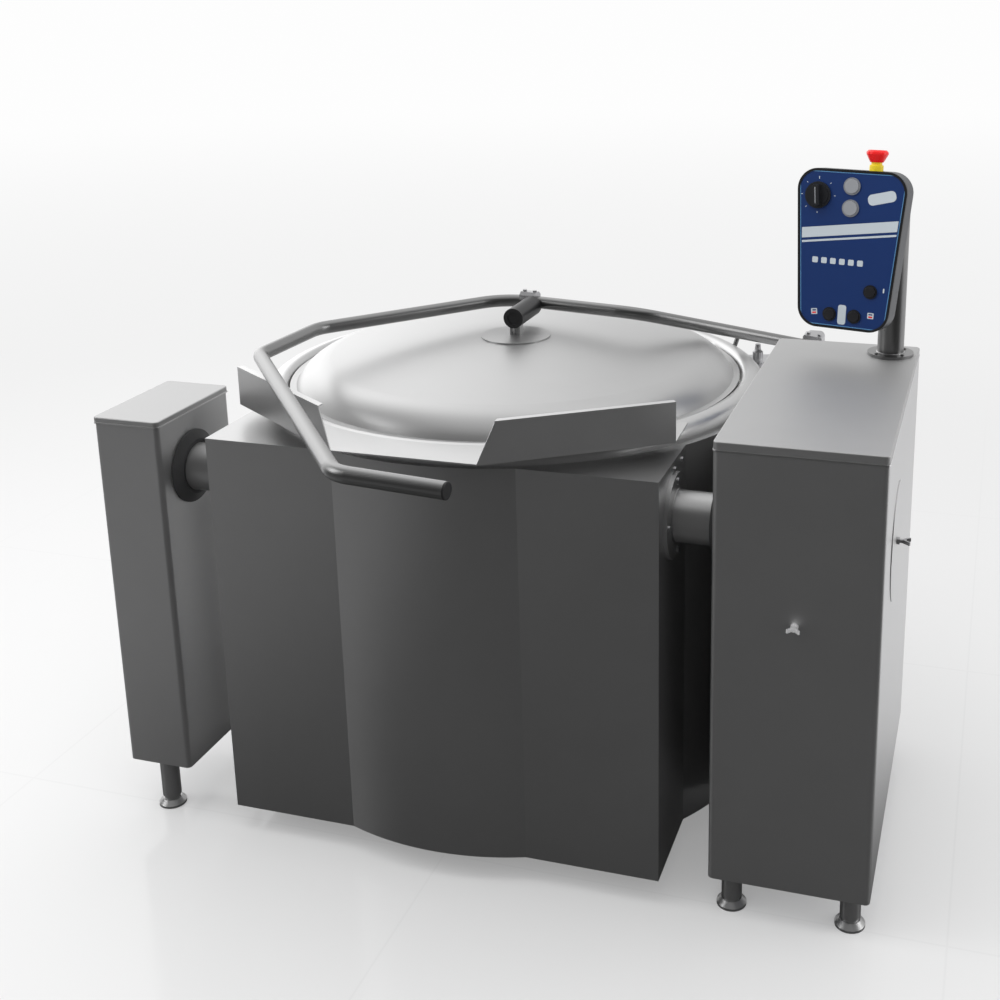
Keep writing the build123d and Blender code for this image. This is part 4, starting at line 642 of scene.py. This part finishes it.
def band(left_v, right_v, height):
    """A straight band across the face, cut along the panel's slanting edges."""
    strip = flat_plane()
    strip.scale = (PANEL_TOP_WIDTH * BAND_REACH, height, 1)
    strip.rotation_euler = (0, 0, (right_v - left_v) / PANEL_TOP_WIDTH)
    strip.location = (0, (left_v + right_v) / 2, FACE)
    bpy.ops.object.transform_apply(location=True, rotation=True, scale=True)
    bpy.ops.object.mode_set(mode="EDIT")
    slope = (PANEL_TOP_WIDTH - PANEL_BOTTOM_WIDTH) / 2 / PANEL_HEIGHT
    middle = (PANEL_TOP_WIDTH + PANEL_BOTTOM_WIDTH) / 4 - BAND_INSET
    for side in (-1, 1):
        bpy.ops.mesh.select_all(action="SELECT")
        bpy.ops.mesh.bisect(
            plane_co=(side * middle, 0, 0), plane_no=(side, -slope, 0), clear_outer=True
        )
    thicken(PRINT_DEPTH)
    bpy.ops.object.mode_set(mode="OBJECT")
    return strip


def panel_line():
    """A thin line that runs round the face just inside the rim."""
    line = flat_plane()
    half = PANEL_HEIGHT / 2 - LINE_INSET
    for vertex in line.data.vertices:
        width = (PANEL_TOP_WIDTH if vertex.co.y > 0 else PANEL_BOTTOM_WIDTH) / 2 - LINE_INSET
        vertex.co = (width if vertex.co.x > 0 else -width, half if vertex.co.y > 0 else -half, 0)
    bpy.ops.object.mode_set(mode="EDIT")
    bpy.ops.mesh.select_all(action="SELECT")
    corner = PANEL_CORNER - LINE_INSET
    bpy.ops.mesh.bevel(offset=corner, offset_type="WIDTH", segments=10, affect="VERTICES")
    bpy.ops.mesh.inset(thickness=LINE_WIDTH)
    bpy.ops.mesh.delete(type="FACE")
    thicken(PRINT_DEPTH)
    bpy.ops.object.mode_set(mode="OBJECT")
    line.location = (0, 0, FACE)
    return line


def dial_ticks():
    """Ticks round the knob, the top one longer, with a gap at the lower right."""
    ticks = []
    for angle in range(0, 360, TICK_TURN):
        if angle != TICK_LEFT_OUT:
            turn = radians(angle + 90)
            at = (KNOB_AT[0] + TICK_RADIUS * cos(turn), KNOB_AT[1] + TICK_RADIUS * sin(turn))
            length = TOP_TICK_LENGTH if angle == 0 else TICK_LENGTH
            ticks.append(rounded_patch(*at, length, TICK_WIDTH, TICK_CORNER, angle + 90))
    return ticks


def cap_bars(height, turn):
    """Three bars on a grey button's cap, level or upright."""
    bars = []
    for step in BAR_STEPS:
        at = (GREY_BUTTON_ACROSS + step, height) if turn else (GREY_BUTTON_ACROSS, height + step)
        bars.append(rounded_patch(*at, *BAR_SHAPE, turn, CAP_TOP, MARK_DEPTH))
    return bars


def add_panel_print():
    pale = [band(*places) for places in PALE_BANDS]
    pale += [rounded_patch(*shape) for shape in PALE_PATCHES]
    across, up = SQUARES_AT
    pale += [rounded_patch(across + SQUARE_STEP * i, up, *SQUARE_SHAPE) for i in range(SQUARES)]
    pale += dial_ticks()
    add_print(pale, "panel_pale_print", "pale_print")
    add_print([panel_line()], "panel_edge_line", "sky_print")
    red = [rounded_patch(*shape, OVER_PRINT) for shape in RED_PATCHES]
    add_print(red, "panel_red_print", "red_print")
    dark = [rounded_patch(*shape, OVER_PRINT) for shape in DARK_PATCHES]
    add_print(dark, "panel_dark_print", "navy_face")
    pointer = rounded_patch(*KNOB_AT, *POINTER_SHAPE, KNOB_TURN, KNOB_TOP, MARK_DEPTH)
    add_print([pointer], "knob_pointer", "grey_cap", "temperature_knob_body")
    for name, height, turn in GREY_BUTTONS:
        body = "grey_button_" + name + "_body"
        add_print(cap_bars(height, turn), "button_marks_" + name, "pale_print", body)


# Small hardware

def point(piece, axis):
    """Turn a piece that stands upright so that it points along an axis."""
    piece.rotation_mode = "QUATERNION"
    piece.rotation_quaternion = Vector(axis).to_track_quat("Z", "Y")


def disc(x, y, z, radius, depth, axis, sides, chamfer):
    """A short cylinder whose back lies at the given place, with a softened front edge."""
    deselect()
    bpy.ops.mesh.primitive_cylinder_add(vertices=sides, radius=radius / 1000, depth=depth / 1000)
    piece = bpy.context.object
    bpy.ops.object.mode_set(mode="EDIT")
    bpy.ops.mesh.select_all(action="DESELECT")
    bpy.ops.mesh.select_mode(type="FACE")
    bpy.ops.object.mode_set(mode="OBJECT")
    for face in piece.data.polygons:
        face.select = face.normal.z > 0.5
    bpy.ops.object.mode_set(mode="EDIT")
    bpy.ops.mesh.bevel(offset=chamfer / 1000, segments=2, affect="EDGES")
    bpy.ops.object.mode_set(mode="OBJECT")
    point(piece, axis)
    piece.location = drawing(x, y, z) + Vector(axis) * depth / 2 / 1000
    return settle(piece, "disc")


def ring(x, y, z, radius, thickness, axis):
    """A thin weld bead round a tube."""
    deselect()
    bpy.ops.mesh.primitive_torus_add(
        major_radius=radius / 1000, minor_radius=thickness / 1000, major_segments=64, minor_segments=8
    )
    piece = bpy.context.object
    point(piece, axis)
    piece.location = drawing(x, y, z)
    bpy.ops.object.shade_smooth()
    return settle(piece, "ring")


def screw(x, y, z, axis):
    """A low round screw head with a hexagon socket."""
    head = disc(x, y, z, SCREW_RADIUS, SCREW_HEAD, axis, 28, SCREW_CHAMFER)
    deselect()
    bpy.ops.mesh.primitive_cylinder_add(
        vertices=6, radius=SOCKET_RADIUS / 1000, depth=SOCKET_REACH / 1000
    )
    tool = bpy.context.object
    point(tool, axis)
    tool.location = drawing(x, y, z) + Vector(axis) * (SOCKET_FLOOR + SOCKET_REACH / 2) / 1000
    cut = head.modifiers.new("socket", "BOOLEAN")
    cut.operation = "DIFFERENCE"
    cut.object = tool
    cut.solver = "EXACT"
    pick([head])
    bpy.ops.object.modifier_apply(modifier="socket")
    bpy.data.objects.remove(tool)
    return head


def hem(node_name, name):
    """A thin folded edge round the foot of a pillar's top, kept inside the CAD's own width, in
    brighter steel that paints the light line along that edge.
    """
    top_low, top_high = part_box(node_name)
    left = max(top_low[0] - HEM_PROUD, cad_box[0][0])
    right = min(top_high[0] + HEM_PROUD, cad_box[1][0])
    front = top_low[1] - HEM_PROUD
    back = top_high[1] + HEM_PROUD
    piece = open_plane(right - left, back - front)
    bpy.ops.mesh.bevel(offset=HEM_CORNER, segments=4, affect="VERTICES")
    bpy.ops.mesh.inset(thickness=HEM_PROUD + HEM_LAP)
    bpy.ops.mesh.delete(type="FACE")
    thicken(HEM_HEIGHT)
    bpy.ops.mesh.bevel(offset=HEM_ROUND, segments=2, affect="EDGES")
    bpy.ops.object.mode_set(mode="OBJECT")
    piece.location = ((left + right) / 2, (front + back) / 2, top_low[2])
    finish_piece(settle(piece, name), "hem_painted_highlight_steel", "stand")


def add_welds():
    radius, thickness = TRUNNION_WELD_RADIUS, TRUNNION_WELD_THICKNESS
    welds = [ring(side * TRUNNION_WELD_X, *TILT_AT, radius, thickness, (1, 0, 0)) for side in (-1, 1)]
    finish_piece(join(welds, "trunnion_welds"), "weld_steel", "kettle")
    base = (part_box("right_pillar_top")[1][2]) * 1000 + POST_FLANGE
    weld = ring(*POST_AT, base, POST_WELD_RADIUS, POST_WELD_THICKNESS, (0, 0, 1))
    finish_piece(join([weld], "post_weld"), "weld_steel", "stand")


def add_casing_bolts():
    head = (CASING_BOLT_RADIUS, CASING_BOLT_HEAD)
    bolts = []
    for side in (-1, 1):
        for y in CASING_BOLT_Y:
            place = (side * CASING_BOLT_X, y, CASING_BOLT_Z)
            bolts.append(disc(*place, *head, (side, 0, 0), 6, CASING_BOLT_CHAMFER))
    finish_piece(join(bolts, "casing_edge_bolts"), "machined_steel", "kettle")


def add_back_screws():
    """Screws in the pillars' back panels, each side at its own panel's face."""
    backs = []
    corners = [vertex.co for vertex in nodes["pillar_backs"].data.vertices]
    for side, places in BACK_SCREW_COLUMNS:
        back_y = max(corner.y for corner in corners if corner.x * side > 0)
        for x in places:
            for z in BACK_SCREW_Z:
                backs.append(screw(x, (back_y - ORIGIN[1]) * 1000, z, (0, 1, 0)))
    finish_piece(join(backs, "back_screws"), "machined_steel", "stand")


def add_hardware():
    hem("right_pillar_top", "right_top_hem")
    hem("left_pillar_top", "left_top_hem")
    add_welds()
    add_casing_bolts()
    add_back_screws()


# Studio

def tile_joints(tree, places):
    """One on the joints between the tiles and nought away from them."""
    lines = []
    for axis, place in enumerate(places):
        start = TILE_START[axis] + ORIGIN[axis]
        steps = math_node(tree, "DIVIDE", minus(tree, place, start), TILE[axis])
        nearest = math_node(tree, "ABSOLUTE", minus(tree, steps, math_node(tree, "ROUND", steps)))
        lines.append(ramp(tree, nearest, 0.0, TILE_JOINT, 1.0, 0.0))
    return math_node(tree, "MAXIMUM", lines[0], lines[1])


def add_floor():
    """A pale tiled floor. Far off it is as white as the sky, and metal sees less of it in front."""
    bpy.ops.mesh.primitive_plane_add(size=2 * FLOOR_HALF)
    floor = settle(bpy.context.object, "studio_floor")
    material, tree, shader = base_material("studio_floor")
    coords = coordinates(tree)
    across, away, _ = split(tree, coords)
    joint = times(tree, tile_joints(tree, (across, away)), JOINT_STRENGTH)
    tile = blend(tree, "MIX", joint, TILE_COLOUR, JOINT_COLOUR)
    light_path = tree.nodes.new("ShaderNodeLightPath")
    behind = ramp(tree, away, *FLOOR_BEHIND)
    left = ramp(tree, across, *FLOOR_LEFT)
    mirrored = plus(tree, behind, left, clamp=True)
    seen = blend(tree, "MIX", light_path.outputs["Is Glossy Ray"], tile, mirrored)
    tree.links.new(seen, shader.inputs["Base Color"])
    shader.inputs["Roughness"].default_value = FLOOR_ROUGHNESS
    shader.inputs["Specular IOR Level"].default_value = FLOOR_SHINE
    length = tree.nodes.new("ShaderNodeVectorMath")
    length.operation = "LENGTH"
    tree.links.new(coords, length.inputs[0])
    distance = length.outputs["Value"]
    far = times(tree, ramp(tree, distance, *FLOOR_TO_WHITE), light_path.outputs["Is Camera Ray"])
    white = tree.nodes.new("ShaderNodeEmission")
    tree.links.new(ramp(tree, distance, *FLOOR_WHITE), white.inputs["Color"])
    mix = tree.nodes.new("ShaderNodeMixShader")
    tree.links.new(far, mix.inputs[0])
    tree.links.new(shader.outputs[0], mix.inputs[1])
    tree.links.new(white.outputs[0], mix.inputs[2])
    tree.links.new(mix.outputs[0], tree.nodes["Material Output"].inputs["Surface"])
    floor.data.materials.append(material)


def add_sky():
    """White all round for the eye, and a studio that is dark on the camera's side for the metal."""
    world = bpy.data.worlds.new("studio")
    bpy.context.scene.world = world
    world.use_nodes = True
    tree = world.node_tree
    across, away, up = split(tree, coordinates(tree, "Generated"))
    behind = ramp(tree, away, *SKY_BEHIND)
    left = times(tree, ramp(tree, across, *SKY_LEFT), ramp(tree, away, *SKY_LEFT_BACK))
    overhead = ramp(tree, up, *SKY_OVERHEAD)
    metal = plus(tree, plus(tree, behind, left), overhead)
    light_path = tree.nodes.new("ShaderNodeLightPath")
    camera = blend(tree, "MIX", light_path.outputs["Is Camera Ray"], SKY_LIGHT, SKY_SEEN)
    seen = blend(tree, "MIX", light_path.outputs["Is Glossy Ray"], camera, metal)
    tree.links.new(seen, tree.nodes["Background"].inputs["Color"])


def add_lamp(name, place, target, size, power, mirrored):
    data = bpy.data.lights.new(name, "AREA")
    data.shape = "RECTANGLE"
    data.size, data.size_y = size
    data.energy = power
    lamp = bpy.data.objects.new(name, data)
    bpy.context.scene.collection.objects.link(lamp)
    lamp.location = place
    lamp.rotation_euler = (Vector(target) - Vector(place)).to_track_quat("-Z", "Y").to_euler()
    lamp.visible_glossy = mirrored


add_camera()
dress_nodes()
add_panel_print()
add_hardware()
add_floor()
add_sky()
for lamp_values in LAMPS:
    add_lamp(*lamp_values)
bpy.context.scene.view_settings.view_transform = "Standard"
